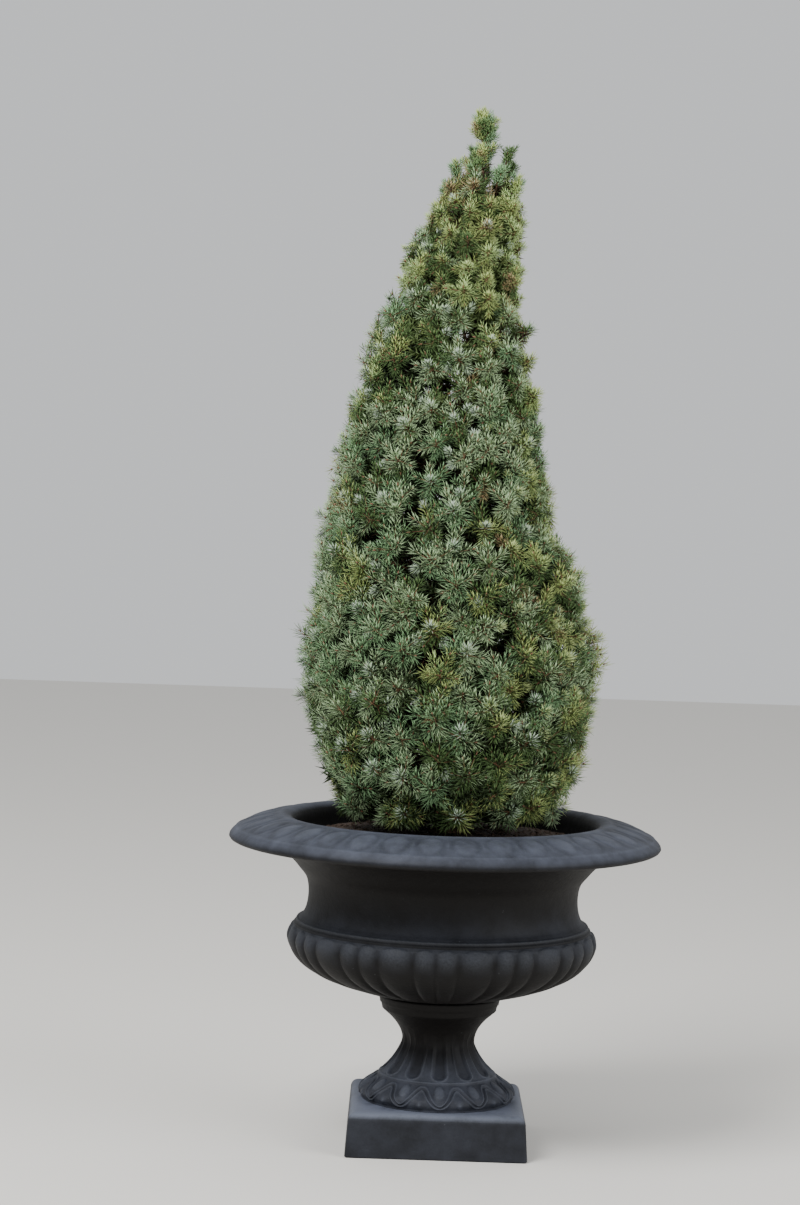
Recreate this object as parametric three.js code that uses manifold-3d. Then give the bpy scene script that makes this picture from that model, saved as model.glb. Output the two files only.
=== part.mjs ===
// A potted blue spruce: a narrow cone of dense, short-needled foliage on one trunk, planted in a
// campana urn of black cast iron that stands on its own square plinth.
//
// Millimetres, +Z up. The origin is the middle of the plinth's flat underside. The tree is seen
// from -Y in the reference view, with +X to the right. Azimuths are measured from +X towards +Y.

import * as THREE from "three";
import { mergeVertices } from "three/addons/utils/BufferGeometryUtils.js";
import Module from "manifold-3d";

const wasm = await Module();
wasm.setup();

// Driving dimensions of the urn

const RIM_RADIUS = 309; // a 24 inch urn, over the outer edge of its lip
const LIP_TIP_HEIGHT = 433;
const LIP_CREST_HEIGHT = 468;
const BELLY_RADIUS = 222;
const WAIST_RADIUS = 193;
const SHOULDER_HEIGHT = 316;
const BOWL_FOOT_RADIUS = 84;
const BOWL_FOOT_HEIGHT = 212;
const NECK_RADIUS = 51.5;
const NECK_HEIGHT = 146;
const PLINTH_SIDE = 258;
const PLINTH_DRAFT = 7.5; // each face leans in by this much on its way up
const PLINTH_HEIGHT = 63;
const IRON_WALL = 12;
const GADROON_SETS = 12; // round the bowl's belly, each a wide lobe and two narrow ones
const FLUTES = 12; // round the foot, over a ring of as many eggs
const SEATING_GAP = 0.3; // clearance between two pieces that touch

// Driving dimensions of the tree

const GROUND = 446; // top of the potting soil round the trunk
const TREE_TOP = 1475;
const TRUNK_TOP = 1345; // where the trunk goes over into the leader
const TRUNK_LEAN = 23 / (TREE_TOP - GROUND); // the top stands 23 mm to the right of the foot
const TRUNK_FOOT_RADIUS = 17;
const ROOT_FLARE_RADIUS = 27;
const TRUNK_TOP_RADIUS = 3.2;
const MASS_CLEARANCE = 1.5; // half of the air between two masses of foliage
const LOW_RISE = 0.45; // boughs climb outwards, so the sheets between the tiers climb too,
const TOP_RISE = 0.95; // gently at the crown's foot and steeply near its top

// The crown's outline: how far the needles reach from the trunk to the right and to the left.
const OUTLINE = [
  { z: 490, right: 172, left: 168 },
  { z: 560, right: 205, left: 206 },
  { z: 640, right: 212, left: 230 },
  { z: 715, right: 224, left: 234 },
  { z: 760, right: 190, left: 214 },
  { z: 815, right: 190, left: 216 },
  { z: 850, right: 173, left: 224 },
  { z: 880, right: 143, left: 212 },
  { z: 960, right: 128, left: 204 },
  { z: 1000, right: 122, left: 190 },
  { z: 1040, right: 112, left: 192 },
  { z: 1090, right: 104, left: 168 },
  { z: 1150, right: 80, left: 160 },
  { z: 1200, right: 73, left: 130 },
  { z: 1280, right: 74, left: 106 },
  { z: 1330, right: 76, left: 77 },
  { z: 1375, right: 57, left: 54 },
];

// The tiers of boughs from the lowest up: the heights between which their foliage meets the
// outline, how many boughs share the tier, and how far round the first of them stands.
const TIERS = [
  { low: 490, high: 640, boughs: 5, turn: -1.45 },
  { low: 640, high: 790, boughs: 5, turn: -0.8 },
  { low: 790, high: 930, boughs: 4, turn: -1.75 },
  { low: 930, high: 1065, boughs: 4, turn: -1.0 },
  { low: 1065, high: 1195, boughs: 3, turn: -1.3 },
  { low: 1195, high: 1372, boughs: 3, turn: -2.2 },
];

// The upright tufts at the crown's top. Each is given by its tip: the azimuth and the distance
// from the trunk's line, and the height. Those of the leader stand on the trunk's last shoot, and
// those of a spire share a steep bough.
const LEADER_TIPS = [
  [0, 0, TREE_TOP],
  [0.2, 14, 1464],
  [3.1, 14, 1456],
  [4.7, 13, 1444],
  [1.6, 13, 1448],
  [3.5, 15, 1421],
  [5.4, 15, 1418],
  [0.9, 15, 1416],
];
const SPIRES = [
  { name: "right", azimuth: -0.3, tips: [[-0.15, 42, 1426], [-0.9, 41, 1400], [0.35, 48, 1408]] },
  { name: "back", azimuth: 1.8, tips: [[2.1, 41, 1412], [1.4, 45, 1402]] },
  { name: "left", azimuth: 3.9, tips: [[3.4, 48, 1397], [4.4, 41, 1402]] },
];
const SPIRE_ROOT_HEIGHT = 1316;
const SPIRE_BOUGH_RUN = 22;
const SPIRE_BOUGH_CLIMB = 30;
const TUFT_LENGTH = 36;
const TUFT_RADIUS = 12;
const TUFT_POINTS = 6;
const LEADER_RADIUS = 25; // the leader keeps within this distance of the trunk's line

// A spray is a short shoot with its needles bunched into points that lean forward.
const SPRAY_RADIUS = 27;
const SPRAY_GAP = 46;
const CORE_DEPTH = 0.62; // share of a mass's depth that its core takes, and at the core's edges
const CORE_EDGE_DEPTH = 0.52; // between the tips of neighbouring sprays

const COLOURS = {
  iron: { color: 0x2b2c30, roughness: 0.72, metalness: 0.35 },
  soil: { color: 0x33261c, roughness: 1.0, metalness: 0.0 },
  bark: { color: 0x5d4a3a, roughness: 0.95, metalness: 0.0 },
  needles: { color: 0x4f6f5d, roughness: 0.75, metalness: 0.0 },
};

const FULL_TURN = 2 * Math.PI;
const FRONT = Math.PI / 2; // the side of -Y lies this far before the azimuth 0
const group = new THREE.Group();
const materials = {};
for (const [name, look] of Object.entries(COLOURS)) {
  materials[name] = new THREE.MeshStandardMaterial({ ...look, flatShading: true });
}

// Meshes and solids

// The closed solid that a three.js geometry bounds.
function solidOf(geometry) {
  const bare = geometry.clone();
  bare.deleteAttribute("normal");
  bare.deleteAttribute("uv");
  const merged = mergeVertices(bare, 1e-3);
  return new wasm.Manifold(
    new wasm.Mesh({
      numProp: 3,
      vertProperties: merged.attributes.position.array,
      triVerts: new Uint32Array(merged.index.array),
    }),
  );
}

// The largest body of a solid, without any crumb that a cut has left beside it.
function largest(solid) {
  return solid.decompose().sort((a, b) => b.volume() - a.volume())[0];
}

// Adds a solid to the group as one named piece.
function addPiece(name, solid, material) {
  const mesh = solid.getMesh();
  const geometry = new THREE.BufferGeometry();
  geometry.setAttribute("position", new THREE.BufferAttribute(mesh.vertProperties, 3));
  geometry.setIndex(new THREE.BufferAttribute(mesh.triVerts, 1));
  geometry.computeVertexNormals();
  const piece = new THREE.Mesh(geometry, materials[material]);
  piece.name = name;
  group.add(piece);
}

const lerp = THREE.MathUtils.lerp;

// A repeatable number from 0 to 1 for the item and the use it is put to.
function chance(item, use) {
  const s = Math.sin(item * 127.1 + use * 311.7) * 43758.5453;
  return s - Math.floor(s);
}

// A body of revolution about the Z axis. Each profile point is [radius, height], up the outside.
function turned(profile, segments, relief) {
  const points = profile.map(([r, z]) => new THREE.Vector2(r, z));
  const geometry = new THREE.LatheGeometry(points, segments);
  geometry.rotateX(Math.PI / 2);
  const position = geometry.attributes.position;
  const step = FULL_TURN / segments;
  for (let i = 0; i < position.count; i++) {
    const x = position.getX(i);
    const y = position.getY(i);
    const radius = Math.hypot(x, y);
    const place = Math.round((Math.atan2(y, x) + FRONT) / step + segments) % segments;
    const made = relief
      ? relief(place, radius, position.getZ(i))
      : { azimuth: place * step - FRONT, radius };
    position.setX(i, made.radius * Math.cos(made.azimuth));
    position.setY(i, made.radius * Math.sin(made.azimuth));
  }
  return solidOf(geometry);
}

// A tapering limb with flat ends between two points.
function limb(from, to, fromRadius, toRadius, sides) {
  const along = new THREE.Vector3().subVectors(to, from);
  const geometry = new THREE.CylinderGeometry(toRadius, fromRadius, along.length(), sides, 1);
  const up = new THREE.Vector3(0, 1, 0);
  geometry.applyQuaternion(new THREE.Quaternion().setFromUnitVectors(up, along.clone().normalize()));
  const middle = from.clone().lerp(to, 0.5);
  geometry.translate(middle.x, middle.y, middle.z);
  return solidOf(geometry);
}

// The urn: pedestal, bowl and soil

// The pedestal: a square plinth with a draft, and on it the round foot. The foot has a base ring
// of fourteen eggs, a bell with as many flutes, a narrow neck and a collar that carries the bowl.
function pedestal() {
  const corner = Math.SQRT2 / 2;
  const top = PLINTH_SIDE - 2 * PLINTH_DRAFT;
  const plinthProfile = [
    [0, 0],
    [PLINTH_SIDE * corner, 0],
    [top * corner, PLINTH_HEIGHT - 6],
    [(top - 12) * corner, PLINTH_HEIGHT],
    [0, PLINTH_HEIGHT],
  ];
  const plinth = turned(plinthProfile, 4).rotate([0, 0, 45]);

  const footProfile = [
    [0, PLINTH_HEIGHT - 20],
    [108, PLINTH_HEIGHT - 20],
    [108, PLINTH_HEIGHT + 2],
    [112, PLINTH_HEIGHT + 9],
    [107, PLINTH_HEIGHT + 19],
    [88, PLINTH_HEIGHT + 32],
    [68, PLINTH_HEIGHT + 51],
    [NECK_RADIUS, NECK_HEIGHT - 5],
    [55, NECK_HEIGHT + 17],
    [68, NECK_HEIGHT + 35],
    [79, NECK_HEIGHT + 52],
    [87, BOWL_FOOT_HEIGHT - 7],
    [87, BOWL_FOOT_HEIGHT],
    [0, BOWL_FOOT_HEIGHT],
  ];
  const segments = FLUTES * 3;
  const flute = 3.5;
  const egg = 2;
  const foot = turned(footProfile, segments, (place, radius, z) => {
    const phase = place % 3;
    let moved = radius;
    if (z > PLINTH_HEIGHT + 30 && z < NECK_HEIGHT + 5 && phase === 0) moved -= flute;
    if (z > PLINTH_HEIGHT + 5 && z < PLINTH_HEIGHT + 22 && phase === 0) moved += egg;
    return { azimuth: (place * FULL_TURN) / segments - FRONT, radius: moved };
  });
  return plinth.add(foot);
}

// The bowl: gadroons in sets of a wide lobe and two narrow ones, a round shoulder, a deep
// cavetto and a broad lip that rolls up and inwards from a thin edge to its crest.
function bowl() {
  const outside = [
    [0, BOWL_FOOT_HEIGHT + SEATING_GAP],
    [BOWL_FOOT_RADIUS, BOWL_FOOT_HEIGHT + SEATING_GAP],
    [128, 223],
    [175, 239],
    [204, 258],
    [218, 277],
    [BELLY_RADIUS, 293],
    [216, 308],
    [208, SHOULDER_HEIGHT],
    [WAIST_RADIUS, 343],
    [196, 376],
    [207, 393],
    [RIM_RADIUS - 69, LIP_TIP_HEIGHT - 14],
    [RIM_RADIUS - 7, LIP_TIP_HEIGHT - 4],
    [RIM_RADIUS, LIP_TIP_HEIGHT + 1],
    [RIM_RADIUS - 13, LIP_TIP_HEIGHT + 15],
    [RIM_RADIUS - 46, LIP_TIP_HEIGHT + 29],
    [230, LIP_CREST_HEIGHT],
    [217, LIP_CREST_HEIGHT - 8],
  ];
  const segments = GADROON_SETS * 6;
  const period = FULL_TURN / GADROON_SETS;
  // Where the grooves and crests of one set stand, as shares of its period.
  const places = [0, 0.2275, 0.455, 0.591, 0.7275, 0.864];
  const gadroon = 6;
  const firstGroove = THREE.MathUtils.degToRad(5.3) - FRONT;
  const profile = [...outside, ...inside(0)];
  return turned(profile, segments, (place, radius, z) => {
    const azimuth = firstGroove + (Math.floor(place / 6) + places[place % 6]) * period;
    const outer = radius > insideRadius(z) + 4;
    const lobed = outer && z > BOWL_FOOT_HEIGHT + 5 && z < SHOULDER_HEIGHT - 2;
    const groove = lobed && place % 2 === 0 ? gadroon : 0;
    return { azimuth, radius: radius - groove };
  });
}

// The inner wall from the lip down to the floor of the bowl, drawn in by a clearance.
function inside(gap) {
  return [
    [214 - gap, GROUND - 12],
    [WAIST_RADIUS - IRON_WALL + 14 - gap, 398],
    [WAIST_RADIUS - IRON_WALL - gap, 352],
    [BELLY_RADIUS - IRON_WALL - 14 - gap, 290],
    [110 - gap, 246 + gap],
    [0, 240 + gap],
  ];
}

// The inner wall's radius at a height, for telling the bowl's outer skin from its inner one.
function insideRadius(z) {
  const wall = inside(0);
  for (let i = 1; i < wall.length; i++) {
    const [upper, lower] = [wall[i - 1], wall[i]];
    if (z <= upper[1] && z >= lower[1]) {
      return lerp(lower[0], upper[0], (z - lower[1]) / (upper[1] - lower[1]));
    }
  }
  return 0;
}

// Potting soil that fills the bowl, slightly crowned, with a level patch round the trunk.
function soil() {
  const gap = SEATING_GAP + 0.5;
  const profile = [
    ...inside(gap).reverse(),
    [170, GROUND - 4],
    [90, GROUND],
    [0, GROUND],
  ];
  return turned(profile, 24);
}

// The tree's frame

// The middle of the trunk at a height.
const trunkAt = (z) => new THREE.Vector3(TRUNK_LEAN * (z - GROUND), 0, z);

// The point at a distance from the trunk's line.
const beside = (azimuth, distance, z) =>
  trunkAt(z).add(new THREE.Vector3(distance * Math.cos(azimuth), distance * Math.sin(azimuth), 0));

// How far the crown reaches from the trunk, at a height and an azimuth: the outline's right and
// left reach, with an even passage between them round the front and the back.
function reach(z, azimuth) {
  const last = OUTLINE.length - 1;
  let i = OUTLINE.findIndex((row) => row.z > z);
  if (i < 0) i = last;
  i = Math.max(i, 1);
  const [lower, upper] = [OUTLINE[i - 1], OUTLINE[i]];
  const share = THREE.MathUtils.clamp((z - lower.z) / (upper.z - lower.z), 0, 1);
  const right = lerp(lower.right, upper.right, share);
  const left = lerp(lower.left, upper.left, share);
  return (right + left) / 2 + ((right - left) / 2) * Math.cos(azimuth);
}

// How steeply boughs climb where they meet the outline at a height.
const riseAt = (meets) =>
  lerp(LOW_RISE, TOP_RISE, (meets - TIERS[0].low) / (TREE_TOP - TIERS[0].low));

// The height, at a distance from the trunk, of the climbing sheet that meets the outline at a
// given height. No sheet dips into the soil.
const sheetHeight = (meets, azimuth, distance) =>
  Math.max(meets - riseAt(meets) * (reach(meets, azimuth) - distance), GROUND + 5);

// The trunk as a sheared body of revolution, a little wider all round for cutting what meets it.
function trunk(extra) {
  const share = (z) => (z - GROUND) / (TRUNK_TOP - GROUND);
  const radiusAt = (z) => lerp(TRUNK_FOOT_RADIUS, TRUNK_TOP_RADIUS, share(z) ** 0.9);
  const heights = [480, 640, 800, 960, 1120, 1260];
  const foot = GROUND + SEATING_GAP;
  const profile = [
    [0, foot],
    [ROOT_FLARE_RADIUS + extra, foot],
    [TRUNK_FOOT_RADIUS + 4 + extra, foot + 12],
    ...heights.map((z) => [radiusAt(z) + extra, z]),
    [TRUNK_TOP_RADIUS + extra, TRUNK_TOP + extra],
    [0, TRUNK_TOP + extra],
  ];
  const straight = turned(profile, 10);
  return straight.warp((point) => {
    point[0] += TRUNK_LEAN * (point[2] - GROUND);
  });
}

// Foliage

// A tuft: a spindle from its root to its tip whose waist is a star. The points of the star are
// bunches of needles and lean forward, and the notches between them lie close to the shoot.
function tuft(root, tip, radius, points, turn) {
  const length = root.distanceTo(tip);
  const geometry = new THREE.SphereGeometry(1, points * 2, 2);
  const position = geometry.attributes.position;
  const pointAlong = 0.24 * length;
  const notchAlong = -0.06 * length;
  for (let i = 0; i < position.count; i++) {
    const y = position.getY(i);
    if (Math.abs(y) > 0.5) {
      position.setXYZ(i, 0, (Math.sign(y) * length) / 2, 0);
      continue;
    }
    const angle = Math.atan2(position.getZ(i), position.getX(i));
    const place = Math.round((angle / Math.PI) * points + 2 * points) % (2 * points);
    const isPoint = place % 2 === 0;
    const out = isPoint ? radius : radius * 0.3;
    const about = (place * Math.PI) / points + turn;
    position.setXYZ(i, out * Math.cos(about), isPoint ? pointAlong : notchAlong, out * Math.sin(about));
  }
  const along = new THREE.Vector3().subVectors(tip, root).normalize();
  const up = new THREE.Vector3(0, 1, 0);
  geometry.applyQuaternion(new THREE.Quaternion().setFromUnitVectors(up, along));
  const middle = root.clone().lerp(tip, 0.5);
  geometry.translate(middle.x, middle.y, middle.z);
  return geometry;
}

// How far an azimuth is turned from the middle of a space, the shorter way round.
function turnedFrom(space, azimuth) {
  const turn = azimuth - space.azimuth;
  return Math.atan2(Math.sin(turn), Math.cos(turn));
}

// How far a place lies inside a wedge of the crown, from its nearer side.
function insideWedge(space, distance, azimuth) {
  const off = Math.abs(turnedFrom(space, azimuth));
  return distance * Math.sin(Math.min(space.halfAngle - off, Math.PI / 2));
}

// Whether a point keeps to a space with the clearance. The space tells how deep inside it a
// place lies, from its distance to the trunk's line, its azimuth and its height.
function inSpace(space, point) {
  const x = point.x - TRUNK_LEAN * (point.z - GROUND);
  const depth = space.depthAt(Math.hypot(x, point.y), Math.atan2(point.y, x), point.z);
  return depth >= MASS_CLEARANCE;
}

// Whether every corner of a geometry keeps to a space.
function keepsTo(space, geometry) {
  const position = geometry.attributes.position;
  const point = new THREE.Vector3();
  for (let i = 0; i < position.count; i++) {
    if (!inSpace(space, point.fromBufferAttribute(position, i))) return false;
  }
  return true;
}

// A block of quads, as places [across, up, out] and the quads between them: those of the outer
// face, which sprays grow out of, and those of the other five faces.
function block(columns, rows) {
  const places = [];
  for (let k = 0; k <= 1; k++) {
    for (let j = 0; j <= rows; j++) {
      for (let i = 0; i <= columns; i++) places.push([(2 * i) / columns - 1, j / rows, k]);
    }
  }
  const at = (i, j, k) => (k * (rows + 1) + j) * (columns + 1) + i;
  const outer = [];
  const others = [];
  for (let i = 0; i < columns; i++) {
    for (let j = 0; j < rows; j++) {
      outer.push([at(i, j, 1), at(i + 1, j, 1), at(i + 1, j + 1, 1), at(i, j + 1, 1)]);
      others.push([at(i, j, 0), at(i, j + 1, 0), at(i + 1, j + 1, 0), at(i + 1, j, 0)]);
    }
    others.push([at(i, rows, 0), at(i, rows, 1), at(i + 1, rows, 1), at(i + 1, rows, 0)]);
    others.push([at(i, 0, 0), at(i + 1, 0, 0), at(i + 1, 0, 1), at(i, 0, 1)]);
  }
  for (let j = 0; j < rows; j++) {
    const c = columns;
    others.push([at(c, j, 0), at(c, j + 1, 0), at(c, j + 1, 1), at(c, j, 1)]);
    others.push([at(0, j, 0), at(0, j, 1), at(0, j + 1, 1), at(0, j + 1, 0)]);
  }
  return { places, outer, others };
}

// A mass: a stem that takes over from its bough, a curved block of a core that fills the middle
// of the space, and sprays that grow out of the core's outer face and fan out to the crown's
// outline. A spray that would leave the space is tried smaller, then left out.
function mass(space, stemFrom, stemTo) {
  const middle = reach((space.low + space.high) / 2, space.azimuth);
  const columns = Math.round((2 * space.halfAngle * middle * 0.85) / space.sprayGap);
  const rows = Math.round((space.high - space.low) / space.sprayGap);
  const { places, outer, others } = block(columns, rows);
  const corners = places.map(([across, up, out]) => {
    const meets = lerp(space.low + 4, space.high - 6, up);
    const edge = Math.max(Math.abs(across), Math.abs(2 * up - 1)) ** 4;
    const depth = out * lerp(CORE_DEPTH, CORE_EDGE_DEPTH, edge);
    const distance = lerp(space.innerRadius, reach(meets, space.azimuth), depth);
    const azimuth = space.azimuth + across * (space.halfAngle - 3 / distance);
    return beside(azimuth, distance, Math.max(sheetHeight(meets, azimuth, distance), GROUND + 8));
  });
  const faces = others.flatMap(([a, b, c, d]) => [[a, b, c], [a, c, d]]);
  outer.forEach(([a, b, c, d], i) => {
    const seed = space.seed + i;
    const quad = [a, b, c, d];
    const foot = new THREE.Vector3();
    for (const corner of quad) foot.addScaledVector(corners[corner], 1 / 4);
    const base = trunkAt(foot.z);
    const azimuth = Math.atan2(foot.y, foot.x - base.x);
    const distance = foot.distanceTo(base);
    const share = ((i % rows) + 0.5) / rows;
    const meets = lerp(space.low, space.high, share);
    const climb = Math.atan(riseAt(meets)) + lerp(-0.1, 0.1, share) + lerp(-0.06, 0.06, chance(seed, 1));
    const stagger = (i % rows) % 2 ? 0.12 : -0.12;
    const heading = azimuth + 0.25 * turnedFrom(space, azimuth) + stagger;
    const along = new THREE.Vector3(
      Math.cos(heading) * Math.cos(climb),
      Math.sin(heading) * Math.cos(climb),
      Math.sin(climb),
    );
    const far = (reach(meets, azimuth) - distance) * lerp(0.92, 1.05, chance(seed, 2));
    const tip = foot.clone().addScaledVector(along, far / Math.cos(climb));
    const grown = [1, 0.88, 0.76, 0.64, 0.5]
      .map((size) => spray(quad.map((k) => corners[k]), foot, tip, space.sprayRadius * size))
      .find((candidate) => candidate.every((point) => inSpace(space, point)));
    if (!grown) {
      faces.push([a, b, c], [a, c, d]);
      return;
    }
    const first = corners.length;
    corners.push(...grown);
    quad.forEach((corner, k) => {
      const next = (k + 1) % 4;
      const [neck, nextNeck] = [first + k, first + next];
      const point = first + 4 + k;
      const top = first + 8;
      faces.push([corner, quad[next], nextNeck], [corner, nextNeck, neck], [neck, nextNeck, point]);
      faces.push([neck, point, top], [point, nextNeck, top]);
    });
  });
  const foliage = new wasm.Manifold(
    new wasm.Mesh({
      numProp: 3,
      vertProperties: new Float32Array(corners.flatMap((point) => point.toArray())),
      triVerts: new Uint32Array(faces.flat()),
    }),
  );
  const stem = limb(stemFrom, stemTo, space.boughTipRadius, space.boughTipRadius * 0.8, 5);
  return foliage.add(stem);
}

// The corners of a spray that grows out of a quad: four round its narrow foot, four points of
// bunched needles that spread between them and lean forward, and the tip.
function spray(quad, foot, tip, radius) {
  const along = new THREE.Vector3().subVectors(tip, foot);
  const unit = along.clone().normalize();
  const necks = quad.map((corner) =>
    foot.clone().addScaledVector(along, 0.14).addScaledVector(corner.clone().sub(foot), 0.26),
  );
  const points = quad.map((corner, k) => {
    const side = corner.clone().add(quad[(k + 1) % 4]).multiplyScalar(0.5).sub(foot);
    side.addScaledVector(unit, -side.dot(unit)).normalize();
    return foot.clone().addScaledVector(along, 0.7).addScaledVector(side, radius);
  });
  return [...necks, ...points, tip];
}

// The five boughs or fewer of a tier, each with its mass.
function tier(index, row) {
  const trunkCut = trunk(SEATING_GAP);
  const middle = (row.low + row.high) / 2;
  const height = (middle - TIERS[0].low) / (TREE_TOP - TIERS[0].low);
  const size = lerp(1, 0.78, height);
  const halfAngle = Math.PI / row.boughs;
  for (let b = 0; b < row.boughs; b++) {
    const azimuth = row.turn + 2 * halfAngle * b;
    const outer = reach(middle, azimuth);
    const space = {
      seed: 1000 * index + 200 * b,
      low: row.low,
      high: row.high,
      azimuth,
      halfAngle,
      innerRadius: outer * 0.3,
      boughTipRadius: lerp(4.2, 2.4, height),
      sprayRadius: SPRAY_RADIUS * size,
      sprayGap: SPRAY_GAP * size,
      depthAt: (distance, around, z) =>
        Math.min(
          insideWedge(space, distance, around),
          z - sheetHeight(space.low, around, distance),
          sheetHeight(space.high, around, distance) - z,
        ),
    };
    const run = outer * 0.34;
    const boughTip = beside(azimuth, run, sheetHeight(middle, azimuth, run));
    const boughRoot = trunkAt(boughTip.z - run * (riseAt(middle) - 0.1));
    const along = new THREE.Vector3().subVectors(boughTip, boughRoot).normalize();
    const name = `${index + 1}_${b + 1}`;
    const boughRadius = lerp(6.5, 3.6, height);
    const bough = limb(boughRoot, boughTip, boughRadius, space.boughTipRadius, 5).subtract(trunkCut);
    const stemFrom = boughTip.clone().addScaledVector(along, SEATING_GAP);
    const cut = limb(boughRoot, stemFrom, boughRadius + 1, space.boughTipRadius + 1, 6);
    const stemTo = beside(azimuth, outer * 0.55, sheetHeight(middle, azimuth, outer * 0.55));
    addPiece(`bough_${name}`, bough, "bark");
    const foliage = mass(space, stemFrom, stemTo).subtract(cut);
    addPiece(`foliage_${name}`, largest(foliage), "needles");
  }
}

// The tuft that ends at a tip. Its root stands lower down and at a share of the tip's distance.
// A tuft that would leave the space is tried smaller.
function upright(space, [azimuth, distance, z], turn) {
  const tip = beside(azimuth, distance, z);
  return [1, 0.88, 0.76, 0.64, 0.5]
    .map((size) => {
      const root = beside(azimuth, distance * space.rootShare, z - TUFT_LENGTH * size);
      return { root, tip, shape: tuft(root, tip, TUFT_RADIUS * size, TUFT_POINTS, turn) };
    })
    .find((grown) => keepsTo(space, grown.shape));
}

// The leader: the trunk's last shoot, with its tufts in a narrow space of their own.
function leader() {
  const space = { rootShare: 0, depthAt: (distance) => LEADER_RADIUS - distance };
  const from = trunkAt(TRUNK_TOP + SEATING_GAP);
  const stem = limb(from, trunkAt(TREE_TOP - TUFT_LENGTH / 2), TRUNK_TOP_RADIUS, 1.6, 6);
  const tufts = LEADER_TIPS.map((tip, i) => solidOf(upright(space, tip, i).shape));
  addPiece("foliage_leader", wasm.Manifold.union([stem, ...tufts]), "needles");
}

// A spire: a steep bough near the trunk's top, and the tufts that it carries on thin stems.
function spire(row, order) {
  const root = trunkAt(SPIRE_ROOT_HEIGHT);
  const tip = beside(row.azimuth, SPIRE_BOUGH_RUN, SPIRE_ROOT_HEIGHT + SPIRE_BOUGH_CLIMB);
  const bough = limb(root, tip, 3.2, 2.6, 6).subtract(trunk(SEATING_GAP));
  const along = new THREE.Vector3().subVectors(tip, root).normalize();
  const from = tip.clone().addScaledVector(along, SEATING_GAP);
  const sheet = TIERS[TIERS.length - 1].high;
  const space = {
    azimuth: row.azimuth,
    halfAngle: Math.PI / SPIRES.length,
    rootShare: 0.8,
    depthAt: (distance, around, z) =>
      Math.min(
        insideWedge(space, distance, around),
        distance - LEADER_RADIUS,
        z - sheetHeight(sheet, around, distance),
      ),
  };
  const parts = row.tips.flatMap((place, i) => {
    const grown = upright(space, place, order + i);
    const middle = grown.root.clone().lerp(grown.tip, 0.3);
    return [limb(from, middle, 2.6, 1.5, 5), solidOf(grown.shape)];
  });
  // The stems' foot is cut square to the bough, so that it meets the bough's tip with clearance.
  const cut = limb(root.clone().addScaledVector(along, -40), from, 12, 12, 8);
  addPiece(`bough_spire_${row.name}`, bough, "bark");
  addPiece(
    `foliage_spire_${row.name}`,
    largest(wasm.Manifold.union(parts).subtract(cut)),
    "needles",
  );
}

addPiece("urn_pedestal", pedestal(), "iron");
addPiece("urn_bowl", bowl(), "iron");
addPiece("potting_soil", soil(), "soil");
addPiece("trunk", trunk(0), "bark");
TIERS.forEach((row, index) => tier(index, row));
SPIRES.forEach((row, order) => spire(row, order));
leader();

export default group;
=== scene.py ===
import math

import bpy
import numpy as np
from mathutils import Matrix


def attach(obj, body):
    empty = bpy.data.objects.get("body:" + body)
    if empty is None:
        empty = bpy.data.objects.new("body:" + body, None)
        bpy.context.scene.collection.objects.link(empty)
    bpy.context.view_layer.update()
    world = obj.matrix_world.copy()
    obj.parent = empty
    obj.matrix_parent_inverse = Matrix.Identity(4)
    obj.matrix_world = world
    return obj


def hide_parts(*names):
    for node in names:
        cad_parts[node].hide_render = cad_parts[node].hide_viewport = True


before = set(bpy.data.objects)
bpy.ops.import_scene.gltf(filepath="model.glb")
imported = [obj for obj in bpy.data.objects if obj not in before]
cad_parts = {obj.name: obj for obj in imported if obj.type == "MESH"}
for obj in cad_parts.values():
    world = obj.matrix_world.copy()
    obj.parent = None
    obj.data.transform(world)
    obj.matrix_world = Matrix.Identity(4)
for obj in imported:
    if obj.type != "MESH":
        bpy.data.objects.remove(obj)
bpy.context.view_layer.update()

# Camera. It stands 4.2 m off, a little left of the urn's axis and level with the middle of the
# crown. It looks slightly down, and it is rolled so that plumb lines lean to the right.
CAMERA_PLACE = (-0.0755, -4.2, 0.9445)
CAMERA_PITCH = math.radians(2.35)
CAMERA_ROLL = math.radians(1.9)
CAMERA_LENS = 88.0

camera_data = bpy.data.cameras.new("camera")
camera_data.lens = CAMERA_LENS
camera_data.sensor_width = 36.0
camera_data.clip_start = 0.05
camera_data.clip_end = 60.0
camera = bpy.data.objects.new("camera", camera_data)
bpy.context.scene.collection.objects.link(camera)
camera.matrix_world = (
    Matrix.Translation(CAMERA_PLACE)
    @ Matrix.Rotation(math.pi / 2 - CAMERA_PITCH, 4, "X")
    @ Matrix.Rotation(CAMERA_ROLL, 4, "Z")
)
bpy.context.scene.camera = camera

# Studio. A pale floor that runs back out of sight, a large soft lamp high on the left, a weaker
# one on the right, and an even sky.
FLOOR_COLOUR = "#dddad4"
FLOOR_REACH = 9
SKY_COLOUR = "#eceef0"
SKY_STRENGTH = 0.85


def linear(colour):
    """An sRGB hex colour as linear RGBA: each share c becomes ((c + 0.055) / 1.055) ** 2.4."""
    shares = np.array([int(colour[i : i + 2], 16) / 255 for i in (1, 3, 5)])
    low = shares / 12.92
    high = ((shares + 0.055) / 1.055) ** 2.4
    return (*np.where(shares <= 0.04045, low, high).tolist(), 1.0)


def feed(material, node, inputs):
    """Gives each named input of a node its value, or links a socket to it."""
    for name, value in inputs.items():
        if isinstance(value, bpy.types.NodeSocket):
            material.node_tree.links.new(value, node.inputs[name])
        else:
            node.inputs[name].default_value = value


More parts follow.
